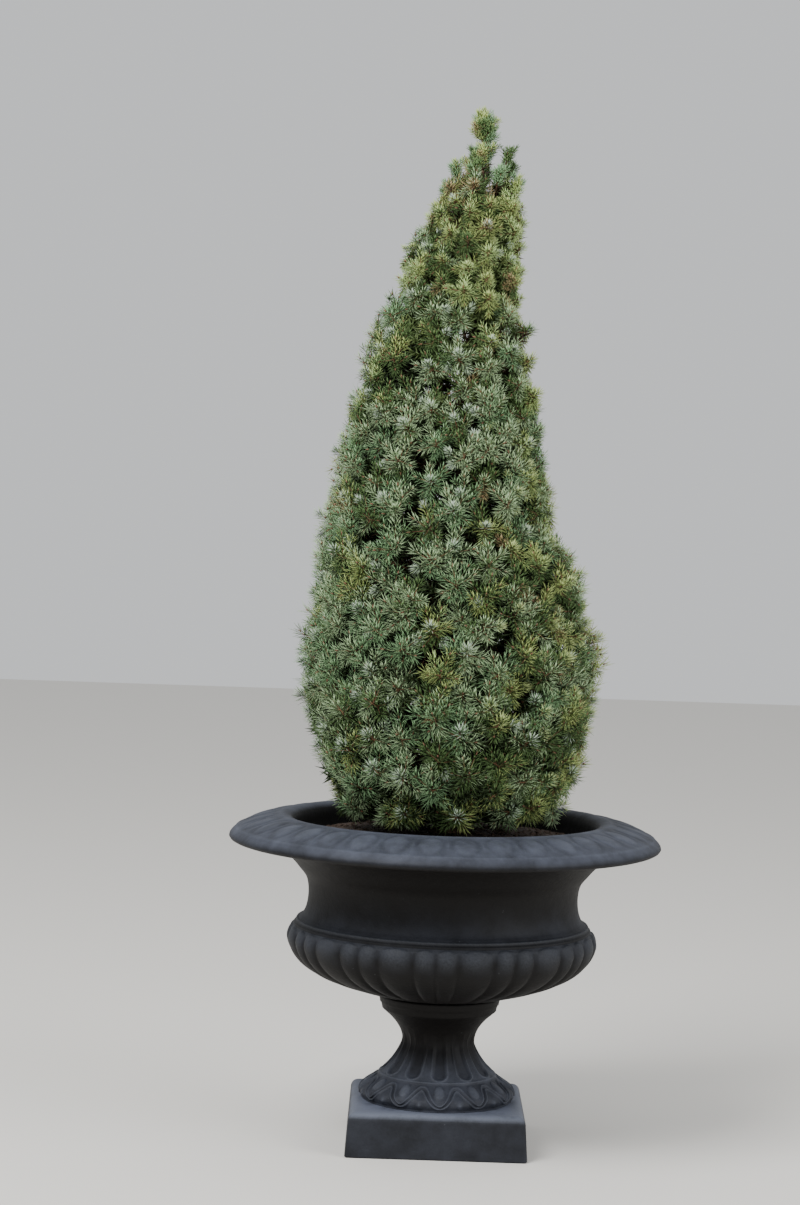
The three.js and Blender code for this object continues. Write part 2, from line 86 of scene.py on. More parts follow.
def put(material, kind, settings=None, inputs=None):
    """Adds a shader node of a kind to a material, sets its properties and feeds its inputs."""
    made = material.node_tree.nodes.new(f"ShaderNode{kind}")
    for name, value in (settings or {}).items():
        setattr(made, name, value)
    feed(material, made, inputs or {})
    return made


def new_material(name, colour, roughness):
    """A material with one Principled shader, and that shader."""
    material = bpy.data.materials.new(name)
    material.use_nodes = True
    shader = material.node_tree.nodes["Principled BSDF"]
    feed(material, shader, {"Base Color": linear(colour), "Roughness": roughness})
    return material, shader


def add_mesh(name, corners, faces, material, smooth=True):
    """An object at the origin from an array of corners and an array of faces of equal length."""
    mesh = bpy.data.meshes.new(name)
    mesh.vertices.add(len(corners))
    mesh.vertices.foreach_set("co", np.asarray(corners, np.float32).ravel())
    mesh.loops.add(faces.size)
    mesh.loops.foreach_set("vertex_index", np.asarray(faces, np.int32).ravel())
    mesh.polygons.add(len(faces))
    mesh.polygons.foreach_set("loop_start", np.arange(len(faces), dtype=np.int32) * faces.shape[1])
    mesh.update(calc_edges=True)
    if smooth:
        mesh.shade_smooth()
    mesh.materials.append(material)
    made = bpy.data.objects.new(name, mesh)
    bpy.context.scene.collection.objects.link(made)
    return made


# Matt floor paint has no gloss, so that the floor shows only soft shadows.
floor_material, _ = new_material("matt_floor_paint", FLOOR_COLOUR, 0.9)
floor = add_mesh(
    "floor",
    FLOOR_REACH * np.array([[-1, -1, 0], [1, -1, 0], [1, 1, 0], [-1, 1, 0]]),
    np.array([[0, 1, 2, 3]]),
    floor_material,
)

world = bpy.data.worlds.new("studio")
world.use_nodes = True
sky = world.node_tree.nodes["Background"]
feed(world, sky, {"Color": linear(SKY_COLOUR), "Strength": SKY_STRENGTH})
bpy.context.scene.world = world


def aimed(place, aim):
    """The matrix of an object at a place whose -Z axis points at the aim: its Z axis points away
    from the aim, and its X axis is level."""
    back = np.subtract(place, aim)
    back = back / np.linalg.norm(back)
    right = np.cross([0, 0, 1], back)
    right = right / np.linalg.norm(right)
    turn = np.stack([right, np.cross(back, right), back], axis=1)
    return Matrix.Translation(place) @ Matrix(turn.tolist()).to_4x4()


def add_lamp(name, place, aim, size, watts):
    """A square area lamp at a place, turned so that it shines at the aim."""
    data = bpy.data.lights.new(name, "AREA")
    data.size = size
    data.energy = watts
    lamp = bpy.data.objects.new(name, data)
    bpy.context.scene.collection.objects.link(lamp)
    lamp.matrix_world = aimed(place, aim)


add_lamp("key_lamp", (-2.2, -2.6, 4.2), (0, 0, 0.8), 2.2, 300)
add_lamp("fill_lamp", (3.4, -2.2, 2.2), (0, 0, 0.7), 2.6, 110)

# Cast-iron urn, foot and plinth. The foot is a bell with round-ended flutes over a band of eggs
# in a waving double moulding. It is cast in one with a square plinth whose arrises have worn
# soft. It is painted black, and the weather has dulled it.
PLINTH_SIDE = 0.256
PLINTH_HEIGHT = 0.063
PLINTH_DRAFT = 0.0035
PLINTH_ROUNDING = 0.012
PLINTH_CORNER = 64
PLINTH_SEGMENTS = 320
FOOT_UNITS = 12
FOOT_TURN = math.radians(1.5) - math.pi / 2
FOOT_SEGMENTS = 640
# A flute's half width as a share of its pitch, the height of its round end, and its depth.
FLUTE_HALF, FLUTE_END, FLUTE_DEPTH = 0.275, 0.1025, 0.0020
# The middle height of the waving moulding, and how far it swings.
WAVE_MIDDLE, WAVE_SWING = 0.0815, 0.0112
# The way along the bell for each unit of height, at the flutes' ends and in the band.
FLUTE_SLANT, BAND_SLANT = 1.35, 1.5


def smooth_step(low, high, value):
    """0 below low, 1 above high, and 3t^2 - 2t^3 of the share t between them."""
    t = np.clip((value - low) / (high - low), 0, 1)
    return t * t * (3 - 2 * t)


def ridge(value, middle, width):
    """A soft ridge of height 1: e to the minus square of (value - middle) / width."""
    return np.exp(-(((value - middle) / width) ** 2))


def resampled(profile, along, count):
    """The profile at count places, evenly spaced in a number that grows along it."""
    even = np.linspace(along[0], along[-1], count)
    return np.stack([np.interp(even, along, profile[:, i]) for i in (0, 1)], axis=1)


def eased(points, count):
    """A smooth profile through points (radius, height), evenly spaced along its length: a
    Catmull-Rom curve, whose tangent at each point is half the step between its neighbours."""
    points = np.asarray(points, float)
    ends = np.vstack([2 * points[0] - points[1], points, 2 * points[-1] - points[-2]])
    t = np.linspace(0, len(points) - 1 - 1e-9, 40 * len(points))
    k = t.astype(int)
    t = (t - k)[:, None]
    a, b, c, d = ends[k], ends[k + 1], ends[k + 2], ends[k + 3]
    square, cube = 2 * a - 5 * b + 4 * c - d, 3 * b - a - 3 * c + d
    curve = 0.5 * (2 * b + (c - a) * t + square * t**2 + cube * t**3)
    along = np.concatenate([[0], np.cumsum(np.linalg.norm(np.diff(curve, axis=0), axis=1))])
    return resampled(curve, along, count)


def grid_quads(rows, segments):
    """The quads between the rows of a grid of corners, each row closed round its segments."""
    j, i = np.meshgrid(np.arange(rows - 1), np.arange(segments), indexing="ij")
    after = (i + 1) % segments
    lower, upper = j * segments, (j + 1) * segments
    return np.stack([lower + i, lower + after, upper + after, upper + i], axis=2).reshape(-1, 4)


def polar(angle, radius, height):
    """The points (r cos a, r sin a, z)."""
    return np.stack([radius * np.cos(angle), radius * np.sin(angle), height], axis=-1)


def turned(profile, segments, relief):
    """A surface of revolution about Z: place (r, z) of the profile at angle a goes to
    (r cos a, r sin a, z), pushed out along the profile's normal by relief(a, r, z). The grid is
    closed round the turn. Returns corners and quads."""
    step = np.gradient(profile, axis=0)
    normal = np.stack([step[:, 1], -step[:, 0]], axis=1)
    normal /= np.linalg.norm(normal, axis=1, keepdims=True) + 1e-12
    angle = np.arange(segments) * 2 * np.pi / segments
    a, r = np.meshgrid(angle, profile[:, 0])
    z = np.broadcast_to(profile[:, 1:], a.shape)
    push = relief(a, r, z)
    grid = polar(a, r + push * normal[:, :1], z + push * normal[:, 1:])
    return grid.reshape(-1, 3), grid_quads(len(profile), segments)


def capped(corners, quads, segments):
    """Closes both ends of a turned surface with a fan of triangles round a middle corner, and
    splits its quads in two."""
    rows = len(corners) // segments
    i = np.arange(segments)
    after = (i + 1) % segments
    ends = np.array([corners[:segments].mean(axis=0), corners[-segments:].mean(axis=0)])
    first = len(corners)
    last_row = (rows - 1) * segments
    lower = np.stack([after, i, np.full(segments, first)], axis=1)
    upper = np.stack([last_row + i, last_row + after, np.full(segments, first + 1)], axis=1)
    triangles = np.vstack([quads[:, [0, 1, 2]], quads[:, [0, 2, 3]], lower, upper])
    return np.vstack([corners, ends]), triangles


def mark(piece, **marks):
    """Keeps numbers for each corner of a capped piece as attributes that its material reads. The
    two corners that close its ends get 0."""
    for name, values in marks.items():
        attribute = piece.data.attributes.new(name, "FLOAT", "POINT")
        attribute.data.foreach_set("value", np.append(values, [0, 0]).astype(np.float32))


# Black paint on cast iron, outdoors for years: matt, with grey dust where it faces up, lighter
# where hands and rain have worn the raised parts, and a fine sandy grain from the mould. Painted
# shade darkens it to a near-black brown under the bowl and its lip, inside it, in its grooves and
# hollows, and on the foot's neck. The grain is drawn 2.6 mm wide, coarser than it is, so that it
# shows.
iron, iron_shader = new_material("weathered_painted_cast_iron", "#1a1a1d", 0.6)
iron_place = put(iron, "TexCoord").outputs["Object"]
# The wear, the dust and the painted shade that each piece keeps on its corners.
wear, dust, shelter = (
    put(iron, "Attribute", {"attribute_name": name}).outputs["Fac"]
    for name in ("wear", "dust", "shelter")
)
blotches, grain, specks, dents = (
    put(
        iron,
        "TexNoise",
        inputs={"Vector": iron_place, "Scale": 1 / width, "Detail": detail, "Roughness": rough},
    ).outputs["Fac"]
    for width, detail, rough in (
        (0.035, 5.0, 0.62),
        (0.0026, 2.0, 0.6),
        (0.006, 3.0, 0.7),
        (0.011, 4.0, 0.65),
    )
)
blotch_share, speck_share = (
    put(
        iron,
        "MapRange",
        inputs={"Value": noise, "From Min": low, "From Max": high, "To Max": most},
    ).outputs["Result"]
    for noise, low, high, most in ((blotches, 0.35, 0.68, 1.0), (specks, 0.72, 0.80, 0.40))
)
dust_share, wear_share = (
    put(iron, "Math", {"operation": "MULTIPLY"}, {0: here, 1: noise}).outputs["Value"]
    for here, noise in ((dust, blotches), (wear, grain))
)
# The coat's colours, from the paint up: blotches, painted shade, dust, wear and pale specks.
coat = linear("#0b0b0d")
for share, tint in (
    (blotch_share, "#191a1e"),
    # Painted shade: a near-black brown.
    (shelter, "#090706"),
    (dust_share, "#575c6a"),
    (wear_share, "#5c6068"),
    (speck_share, "#8d9094"),
):
    colours = {"Factor": share, "A": coat, "B": linear(tint)}
    coat = put(iron, "Mix", {"data_type": "RGBA"}, colours).outputs["Result"]
# The casting's dents, and its grain over them.
normal = {}
for height, strength, distance in ((dents, 0.5, 0.0016), (grain, 0.35, 0.0008)):
    heights = {"Height": height, "Strength": strength, "Distance": distance}
    bump = put(iron, "Bump", inputs=heights | normal)
    normal = {"Normal": bump.outputs["Normal"]}
feed(iron, iron_shader, {"Base Color": coat, "Specular IOR Level": 0.18} | normal)

# The bell's profile, as (radius, height) from the plinth up.
FOOT_PROFILE = [
    (0.1080, 0.0628), (0.1095, 0.0655), (0.1120, 0.0725), (0.1098, 0.0795), (0.1040, 0.0845),
    (0.0970, 0.0890), (0.0885, 0.0950), (0.0790, 0.1030), (0.0690, 0.1130), (0.0600, 0.1255),
    (0.0530, 0.1390), (0.0513, 0.1480), (0.0540, 0.1590), (0.0600, 0.1700), (0.0690, 0.1805),
    (0.0785, 0.1890), (0.0822, 0.1945), (0.0840, 0.2005), (0.0862, 0.2055), (0.0872, 0.2105),
    (0.0855, 0.2120),
]


def foot_relief(angle, radius, height):
    """Flutes: channels with half-round lower ends and a raised rim, by the distance inside a
    strip that ends in a semicircle. Band: two ridges at even distances from a cosine wave, an
    egg-shaped swelling in each trough, a dart under each crest, and a fillet along the top.
    Collar: two fine ridges under the bowl."""
    across = ((angle - FOOT_TURN) / (2 * np.pi) * FOOT_UNITS + 0.5) % 1 - 0.5
    pitch = 2 * np.pi * radius / FOOT_UNITS
    half = FLUTE_HALF * pitch
    down = np.clip(FLUTE_END + half / FLUTE_SLANT - height, 0, None) * FLUTE_SLANT
    inside = half - np.hypot(across * pitch, down)
    fluted = (1 - smooth_step(0.138, 0.170, height)) * smooth_step(0.0990, 0.1010, height)
    flutes = 0.0012 * ridge(inside, -0.0016, 0.0013) - FLUTE_DEPTH * smooth_step(0, 0.004, inside)
    band = smooth_step(0.0632, 0.0650, height) * (1 - smooth_step(0.0975, 0.0990, height))
    wave = WAVE_MIDDLE - WAVE_SWING * np.cos(2 * np.pi * across)
    steep = BAND_SLANT * WAVE_SWING * 2 * np.pi / pitch * np.sin(2 * np.pi * across)
    off = BAND_SLANT * (height - wave) / np.sqrt(1 + steep**2)
    ridges = 0.0019 * ridge(np.abs(off), 0.0031, 0.0014) - 0.0010 * ridge(off, 0, 0.0015)
    egg_inside = 1 - (across / 0.15) ** 2 - ((height - 0.0892) / 0.0075) ** 2
    egg = 0.0026 * np.sqrt(np.clip(egg_inside, 0, 1))
    dart = 0.0022 * np.clip(1 - (0.5 - np.abs(across)) / 0.11, 0, 1)
    dart = dart * np.clip(1 - np.abs(height - 0.0730) / 0.0085, 0, 1)
    fillet = 0.0012 * ridge(height, 0.0995, 0.0011)
    collar = 0.0011 * ridge(height, 0.2020, 0.0013) + 0.0011 * ridge(height, 0.1920, 0.0013)
    return flutes * fluted + (ridges + egg + dart) * band + fillet + collar - 0.0012 * band


foot_profile = eased(FOOT_PROFILE, 600)
# Rows stand closer together in the band, where the relief is fine.
foot_weight = np.where(foot_profile[:, 1] < 0.108, 2.4, 1.0)
foot_profile = resampled(foot_profile, np.cumsum(foot_weight), 144)
foot_corners, foot_quads = turned(foot_profile, FOOT_SEGMENTS, foot_relief)
foot_plain = np.repeat(foot_profile[:, 0], FOOT_SEGMENTS)
foot_push = np.hypot(foot_corners[:, 0], foot_corners[:, 1]) - foot_plain
foot_raised = np.clip(foot_push / 0.0015, -1, 1)
foot_height = foot_corners[:, 2]
foot_open = 1 - smooth_step(0.105, 0.140, foot_height)
# Painted shade, a little, in the hollows of the relief.
foot_hollows = 0.12 * foot_open * np.clip(-foot_raised, 0, 1)
foot = add_mesh("urn_foot_cast", *capped(foot_corners, foot_quads, FOOT_SEGMENTS), iron)
# The foot's painted shade: dark on its neck under the bowl, and a little in the hollows of its
# relief.
mark(
    foot,
    wear=foot_open * np.clip(0.10 + 0.5 * foot_raised, 0, 1),
    dust=0.75 * foot_open * (0.75 + 0.25 * foot_raised),
    shelter=np.clip(smooth_step(0.110, 0.165, foot_height) + foot_hollows, 0, 1),
)
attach(foot, "root")
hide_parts("urn_pedestal")

plinth_half = PLINTH_SIDE / 2
top_half = plinth_half - PLINTH_DRAFT - PLINTH_ROUNDING
arris = PLINTH_HEIGHT - PLINTH_ROUNDING
arc = np.linspace(0, math.pi / 2, 7)[1:]
plinth_profile = np.vstack(
    [
        [[plinth_half - 0.0015, 0.0], [plinth_half, 0.0015]],
        np.linspace([plinth_half, 0.002], [plinth_half - PLINTH_DRAFT, arris], 12),
        np.array([top_half, arris]) + PLINTH_ROUNDING * np.stack([np.cos(arc), np.sin(arc)], 1),
        np.linspace([top_half - 0.002, PLINTH_HEIGHT], [0.092, PLINTH_HEIGHT], 14),
    ]
)


def square_turned(profile, segments, corner):
    """A profile carried round a square: at angle a, the distance from the axis is the profile's
    half width over (|cos a|^n + |sin a|^n)^(1/n), where a high n keeps the corners crisp."""
    angle = (np.arange(segments) + 0.5) * 2 * np.pi / segments
    # More of the steps fall near the corners, where the outline turns.
    angle = angle + 0.2 * np.sin(4 * angle)
    a, r = np.meshgrid(angle, profile[:, 0])
    z = np.broadcast_to(profile[:, 1:], a.shape)
    out = r / (np.abs(np.cos(a)) ** corner + np.abs(np.sin(a)) ** corner) ** (1 / corner)
    return polar(a, out, z).reshape(-1, 3), grid_quads(len(profile), segments)


plinth_corners, plinth_quads = square_turned(plinth_profile, PLINTH_SEGMENTS, PLINTH_CORNER)
plinth_height = plinth_corners[:, 2]
plinth_out = np.abs(plinth_corners[:, :2]).max(axis=1)
plinth_edge = ridge(plinth_height, PLINTH_HEIGHT - 0.003, 0.004) * (plinth_out > 0.105)
plinth_top = smooth_step(PLINTH_HEIGHT - 0.009, PLINTH_HEIGHT - 0.001, plinth_height)
plinth_mesh = capped(plinth_corners, plinth_quads, PLINTH_SEGMENTS)
plinth = add_mesh("urn_plinth_cast", *plinth_mesh, iron)
mark(plinth, wear=0.05 + 0.8 * plinth_edge, dust=0.16 + 1.95 * plinth_top, shelter=0 * plinth_top)
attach(plinth, "root")
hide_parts("urn_pedestal")

# Cast-iron urn, bowl. It is a thin casting that stands on the foot: a gadrooned belly under a
# beaded shoulder, a plain hollow waist, and a broad rolled lip with worn eggs and darts.
GADROON_SETS = 12
FIRST_GROOVE = math.radians(-84.7)
# Where each set's lobes begin and end: a wide one and two narrow ones.
LOBE_EDGES = np.array([0, 0.455, 0.7275, 1.0])
GADROON_DEPTH = 0.0056
BEAD_HEIGHT = 0.3168
BOWL_SEGMENTS = 576
LIP_EGGS = 36
# The profile, as (radius, height) from the foot over the lip and down inside.
BOWL_PROFILE = [
    (0.0830, 0.2126), (0.1000, 0.2155), (0.1270, 0.2225), (0.1530, 0.2305), (0.1750, 0.2392),
    (0.1925, 0.2490), (0.2055, 0.2595), (0.2150, 0.2715), (0.2205, 0.2840), (0.2220, 0.2940),
    (0.2190, 0.3040), (0.2135, 0.3110), (0.2085, 0.3160), (0.2035, 0.3205), (0.1985, 0.3265),
    (0.1945, 0.3380), (0.1928, 0.3530), (0.1938, 0.3680), (0.1975, 0.3800), (0.2060, 0.3905),
    (0.2200, 0.4060), (0.2400, 0.4190), (0.2650, 0.4238), (0.2900, 0.4268), (0.3030, 0.4292),
    (0.3086, 0.4335), (0.3060, 0.4400), (0.2970, 0.4475), (0.2820, 0.4550), (0.2620, 0.4618),
    (0.2405, 0.4662), (0.2290, 0.4670), (0.2200, 0.4630), (0.2160, 0.4540), (0.2145, 0.4400),
    (0.2080, 0.4150),
]


def bowl_relief(angle, radius, height):
    """Gadroons: each lobe is half an ellipse across, with a round upper end. Eggs on the lip:
    ellipses in angle and radius, sunk round their edges, with a dart between two of them. Two
    fine rims run along the lip, and a bead along the shoulder."""
    place = ((angle - FIRST_GROOVE) / (2 * np.pi) * GADROON_SETS) % 1
    lobe = np.clip(np.searchsorted(LOBE_EDGES, place, side="right") - 1, 0, 2)
    width = LOBE_EDGES[lobe + 1] - LOBE_EDGES[lobe]
    across = (place - LOBE_EDGES[lobe]) / width * 2 - 1
    bulge = np.sqrt(np.clip(1 - across**2, 0, 1))
    half_width = width / 2 * 2 * np.pi / GADROON_SETS * radius
    upper_end = 0.3112 - 0.5 * np.minimum(half_width, 0.018) * (1 - bulge)
    outside = smooth_step(0.092, 0.180, radius) * (height < 0.3118)
    ended = smooth_step(0, 0.004, upper_end - height)
    lobes = (GADROON_DEPTH * (bulge - 1) * ended - 0.002 * (1 - ended)) * outside
    on_lip = smooth_step(0.434, 0.437, height) * (radius > 0.228)
    egg_across = (angle / (2 * np.pi) * LIP_EGGS) % 1 - 0.5
    out = np.hypot(egg_across / 0.34, (radius - 0.268) / 0.024)
    eggs = 0.0010 * np.sqrt(np.clip(1 - out**2, 0, 1)) - 0.0005 * ridge(out, 1.12, 0.15)
    dart = 0.0007 * np.clip(1 - np.abs(np.abs(egg_across) - 0.5) / 0.07, 0, 1)
    dart = dart * np.clip(1 - np.abs((radius - 0.272) / 0.022), 0, 1)
    rims = 0.0010 * ridge(radius, 0.237, 0.002) + 0.0010 * ridge(radius, 0.2985, 0.0018)
    bead = 0.0016 * ridge(height, BEAD_HEIGHT, 0.0013) * (radius > 0.2)
    return lobes + bead + (eggs + dart + rims) * on_lip


bowl_profile = eased(BOWL_PROFILE, 900)
# Rows stand closest together at the bead, and furthest apart on the plain waist and inside.
bowl_weight = np.where(np.abs(bowl_profile[:, 1] - 0.314) < 0.010, 4.5, 1.0)
bowl_weight[(bowl_profile[:, 1] > 0.327) & (bowl_profile[:, 0] < 0.235)] = 0.5
bowl_profile = resampled(bowl_profile, np.cumsum(bowl_weight), 168)
bowl_corners, bowl_quads = turned(bowl_profile, BOWL_SEGMENTS, bowl_relief)
plain_radius, plain_height = np.repeat(bowl_profile, BOWL_SEGMENTS, axis=0).T
bowl_push = np.hypot(bowl_corners[:, 0], bowl_corners[:, 1]) - plain_radius
lip_push = bowl_corners[:, 2] - plain_height
on_belly = (plain_height < 0.311) & (plain_radius > 0.12)
on_lip = (plain_height > 0.429) & (plain_radius > 0.222)
belly_crest = np.clip(1 + bowl_push / 0.003, 0, 1) * on_belly
belly_crest = belly_crest * smooth_step(0.270, 0.296, plain_height)
lip_crest = on_lip * np.clip(lip_push / 0.002, 0, 1)
bead = ridge(plain_height, BEAD_HEIGHT, 0.0016) * (plain_radius > 0.2)
lip_dust = on_lip * smooth_step(0.431, 0.444, plain_height)
lip_dust = lip_dust * np.clip(0.9 + lip_push / 0.004, 0.3, 1.1)
belly_dust = on_belly * smooth_step(0.285, 0.305, plain_height)
waist_dust = (plain_height > 0.317) * (1 - smooth_step(0.320, 0.350, plain_height))
# Painted shade, near-black brown: under the belly, under the lip and on the upper waist, inside
# the bowl below the lip, and in the grooves between the gadroons.
beneath_belly = 1 - smooth_step(0.252, 0.304, plain_height)
beneath_lip = smooth_step(0.325, 0.385, plain_height)
beneath_lip = beneath_lip * (1 - smooth_step(0.4285, 0.4330, plain_height))
within = (plain_radius < 0.2185) * (plain_height > 0.405)
grooves = on_belly * (bowl_push < -0.004)
bowl = add_mesh("urn_bowl_cast", *capped(bowl_corners, bowl_quads, BOWL_SEGMENTS), iron)
mark(
    bowl,
    wear=0.30 * belly_crest + 0.30 * lip_crest + 0.40 * bead,
    dust=0.80 * lip_dust + 0.20 * belly_dust + 0.16 * waist_dust,
    shelter=np.clip(beneath_belly + beneath_lip + 0.8 * within + 0.35 * grooves, 0, 1),
)
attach(bowl, "root")
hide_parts("urn_bowl")

# Potting soil. Bark-based compost fills the bowl to a thumb's breadth below the lip's crest. It
# is dark, crumbly and a little higher round the trunk.
GROUND = 0.446
SOIL_RADIUS = 0.2125
SOIL_SEGMENTS = 200
# The soil's level at three distances from the trunk.
SOIL_LEVELS = ([0.09, 0.17, SOIL_RADIUS], [GROUND, GROUND - 0.004, GROUND - 0.0125])
CRUMB_WAVES = 24
CRUMB_HEIGHT = 0.006
CHIPS = 1500
soil_rng = np.random.default_rng(11)

# Moist bark compost: dull and dark, with crumbs from black to brown about 6 mm wide.
compost, soil_shader = new_material("moist_bark_compost", "#2b2019", 0.95)
soil_place = put(compost, "TexCoord").outputs["Object"]
soil_noise = put(
    compost,
    "TexNoise",
    inputs={"Vector": soil_place, "Scale": 1 / 0.006, "Detail": 6.0, "Roughness": 0.7},
).outputs["Fac"]
browns = {"Factor": soil_noise, "A": linear("#17100c"), "B": linear("#4d392a")}
soil_mix = put(compost, "Mix", {"data_type": "RGBA"}, browns)
crumbled = {"Height": soil_noise, "Strength": 0.8, "Distance": 0.004}
soil_bump = put(compost, "Bump", inputs=crumbled)
soil_finish = {"Base Color": soil_mix.outputs["Result"], "Normal": soil_bump.outputs["Normal"]}
feed(compost, soil_shader, soil_finish)

waves = soil_rng.normal(0, 1, (CRUMB_WAVES, 2)) * 150
phases = soil_rng.uniform(0, 2 * np.pi, CRUMB_WAVES)


def crumbs(x, y):
    """The soil's unevenness: the mean of plane waves with random headings and phases."""
    turns = x[..., None] * waves[:, 0] + y[..., None] * waves[:, 1] + phases
    return np.sin(turns).mean(axis=-1)


def soil_relief(angle, radius, height):
    """Crumbs on the top, fading out at the rim so that the soil stays inside the iron."""
    crumb = CRUMB_HEIGHT * crumbs(radius * np.cos(angle), radius * np.sin(angle))
    return np.where(height > 0.42, crumb * smooth_step(SOIL_RADIUS, 0.19, radius), 0)


def for_each(faces, count, corners):
    """The triangles of one shape, once for each of count shapes of so many corners."""
    return (faces + corners * np.arange(count)[:, None, None]).reshape(-1, 3)


soil_rings = np.linspace(SOIL_RADIUS - 0.004, 0.004, 70)
soil_profile = np.vstack(
    [
        [[0.100, 0.2510], [0.150, 0.2710], [0.180, 0.3040], [0.1815, 0.3500]],
        [[0.1950, 0.3960], [SOIL_RADIUS, 0.4325]],
        np.stack([soil_rings, np.interp(soil_rings, *SOIL_LEVELS)], axis=1),
    ]
)
soil_corners, soil_quads = turned(soil_profile, SOIL_SEGMENTS, soil_relief)
soil_corners, soil_faces = capped(soil_corners, soil_quads, SOIL_SEGMENTS)

# Chips of bark lie on the soil: flattened octahedra with their corners shifted at random.
chip_angle = soil_rng.uniform(0, 2 * np.pi, CHIPS)
chip_far = 0.206 * np.sqrt(soil_rng.uniform(0.02, 1, CHIPS))
chip_size = soil_rng.uniform(0.0012, 0.0042, (CHIPS, 1, 1))
octahedron = np.array([[1, 0, 0], [0, 1, 0], [-1, 0, 0], [0, -1, 0], [0, 0, 0.5], [0, 0, -0.5]])
octahedron_faces = np.array(
    [[0, 1, 4], [1, 2, 4], [2, 3, 4], [3, 0, 4], [1, 0, 5], [2, 1, 5], [3, 2, 5], [0, 3, 5]]
)
chip_shape = octahedron + soil_rng.normal(0, 0.22, (CHIPS, 6, 3))
chip_turn = soil_rng.uniform(0, 2 * np.pi, CHIPS)
cos_turn, sin_turn = np.cos(chip_turn)[:, None], np.sin(chip_turn)[:, None]
chip_x = chip_shape[..., 0] * cos_turn - chip_shape[..., 1] * sin_turn
chip_y = chip_shape[..., 0] * sin_turn + chip_shape[..., 1] * cos_turn
chip_shape = np.stack([chip_x, chip_y, chip_shape[..., 2]], axis=2) * chip_size
chip_middle = polar(chip_angle, chip_far, np.interp(chip_far, *SOIL_LEVELS))
chip_corners = (chip_shape + chip_middle[:, None, :]).reshape(-1, 3)
chip_faces = for_each(octahedron_faces, CHIPS, 6)
soil = add_mesh(
    "potting_soil_top",
    np.vstack([soil_corners, chip_corners]),
    np.vstack([soil_faces, chip_faces + len(soil_corners)]),
    compost,
)
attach(soil, "root")
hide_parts("potting_soil")

# Trunk. A young spruce stem, scaly and grey-brown, flares into its first roots at the soil and
# leans very slightly to the right on its way up.
TREE_TOP = 1.475
TRUNK_TOP = 1.345
TRUNK_LEAN = 0.023 / (TREE_TOP - GROUND)
TRUNK_FOOT_RADIUS = 0.017
TRUNK_TOP_RADIUS = 0.0032
TRUNK_SEGMENTS = 60

# Spruce bark: dull, in thin scales about 5 mm wide, grey-brown with dark edges.
bark, bark_shader = new_material("scaly_spruce_bark", "#5b4636", 0.95)
bark_place = put(bark, "TexCoord").outputs["Object"]
bark_scales = put(
    bark, "TexVoronoi", {"feature": "F1"}, {"Vector": bark_place, "Scale": 1 / 0.005}
).outputs["Distance"]
greys = {"Factor": bark_scales, "A": linear("#6d5644"), "B": linear("#33261c")}
bark_mix = put(bark, "Mix", {"data_type": "RGBA"}, greys)
feed(bark, bark_shader, {"Base Color": bark_mix.outputs["Result"]})


def trunk_middle(height):
    """The trunk's axis: upright, but for a steady lean to the right."""
    return np.stack([TRUNK_LEAN * (height - GROUND), np.zeros_like(height), height], axis=-1)


def beside(azimuth, distance, height):
    """The point at an azimuth and a distance from the trunk's axis, at a height."""
    azimuth, distance, height = np.broadcast_arrays(azimuth, distance, height)
    return trunk_middle(height) + polar(azimuth, distance, np.zeros_like(height))


def between(first, last, share):
    """The number that is a share of the way from the first to the last."""
    return first + (last - first) * share


trunk_height = np.concatenate(
    [np.linspace(GROUND + 0.0004, GROUND + 0.03, 14), np.linspace(GROUND + 0.034, TRUNK_TOP, 330)]
)
above = trunk_height - GROUND
taper = (above / (TRUNK_TOP - GROUND)) ** 0.9
root_flare = 0.0085 * np.exp(-above / 0.008)
trunk_radius = between(TRUNK_FOOT_RADIUS, TRUNK_TOP_RADIUS, taper) + root_flare
trunk_angle = np.arange(TRUNK_SEGMENTS) * 2 * np.pi / TRUNK_SEGMENTS
a, r = np.meshgrid(trunk_angle, trunk_radius)
h = np.broadcast_to(trunk_height[:, None], a.shape)
scales = np.abs(np.sin(9 * a + 260 * h + 2 * np.sin(90 * h))) * np.abs(np.sin(5 * a - 330 * h))
trunk_grid = beside(a, r * (0.93 + 0.07 * scales), h).reshape(-1, 3)
trunk_quads = grid_quads(len(trunk_height), TRUNK_SEGMENTS)
trunk = add_mesh("trunk_bark", *capped(trunk_grid, trunk_quads, TRUNK_SEGMENTS), bark)
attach(trunk, "root")
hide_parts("trunk")

# Boughs. One tapering limb for each mass of foliage, in whorls up the trunk. They are smoother
# than the trunk and climb outwards, gently low down and steeply near the top.
BOUGH_SIDES = 12
# The radius of a bough at its root and at its tip, each for the lowest and for the treetop.
BOUGH_ROOTS = (0.0065, 0.0036)
BOUGH_TIPS = (0.0042, 0.0024)
# The crown's outline, as (height, reach to the right, reach to the left).
OUTLINE = np.array(
    [
        (0.490, 0.172, 0.168), (0.560, 0.205, 0.206), (0.640, 0.212, 0.230),
        (0.715, 0.224, 0.234), (0.760, 0.190, 0.214), (0.815, 0.190, 0.216),
        (0.850, 0.173, 0.224), (0.880, 0.143, 0.212), (0.960, 0.128, 0.204),
        (1.000, 0.122, 0.190), (1.040, 0.112, 0.192), (1.090, 0.104, 0.168),
        (1.150, 0.080, 0.160), (1.200, 0.073, 0.130), (1.280, 0.074, 0.106),
        (1.330, 0.076, 0.077), (1.375, 0.057, 0.054),
    ]
)
LOW_RISE = 0.45
TOP_RISE = 0.95
# Each tier: where its foliage meets the outline from and to, its boughs, and the first one's turn.
TIERS = [
    (0.490, 0.640, 5, -1.45),
    (0.640, 0.790, 5, -0.80),
    (0.790, 0.930, 4, -1.75),
    (0.930, 1.065, 4, -1.00),
    (1.065, 1.195, 3, -1.30),
    (1.195, 1.372, 3, -2.20),
]
LOWEST = TIERS[0][0]


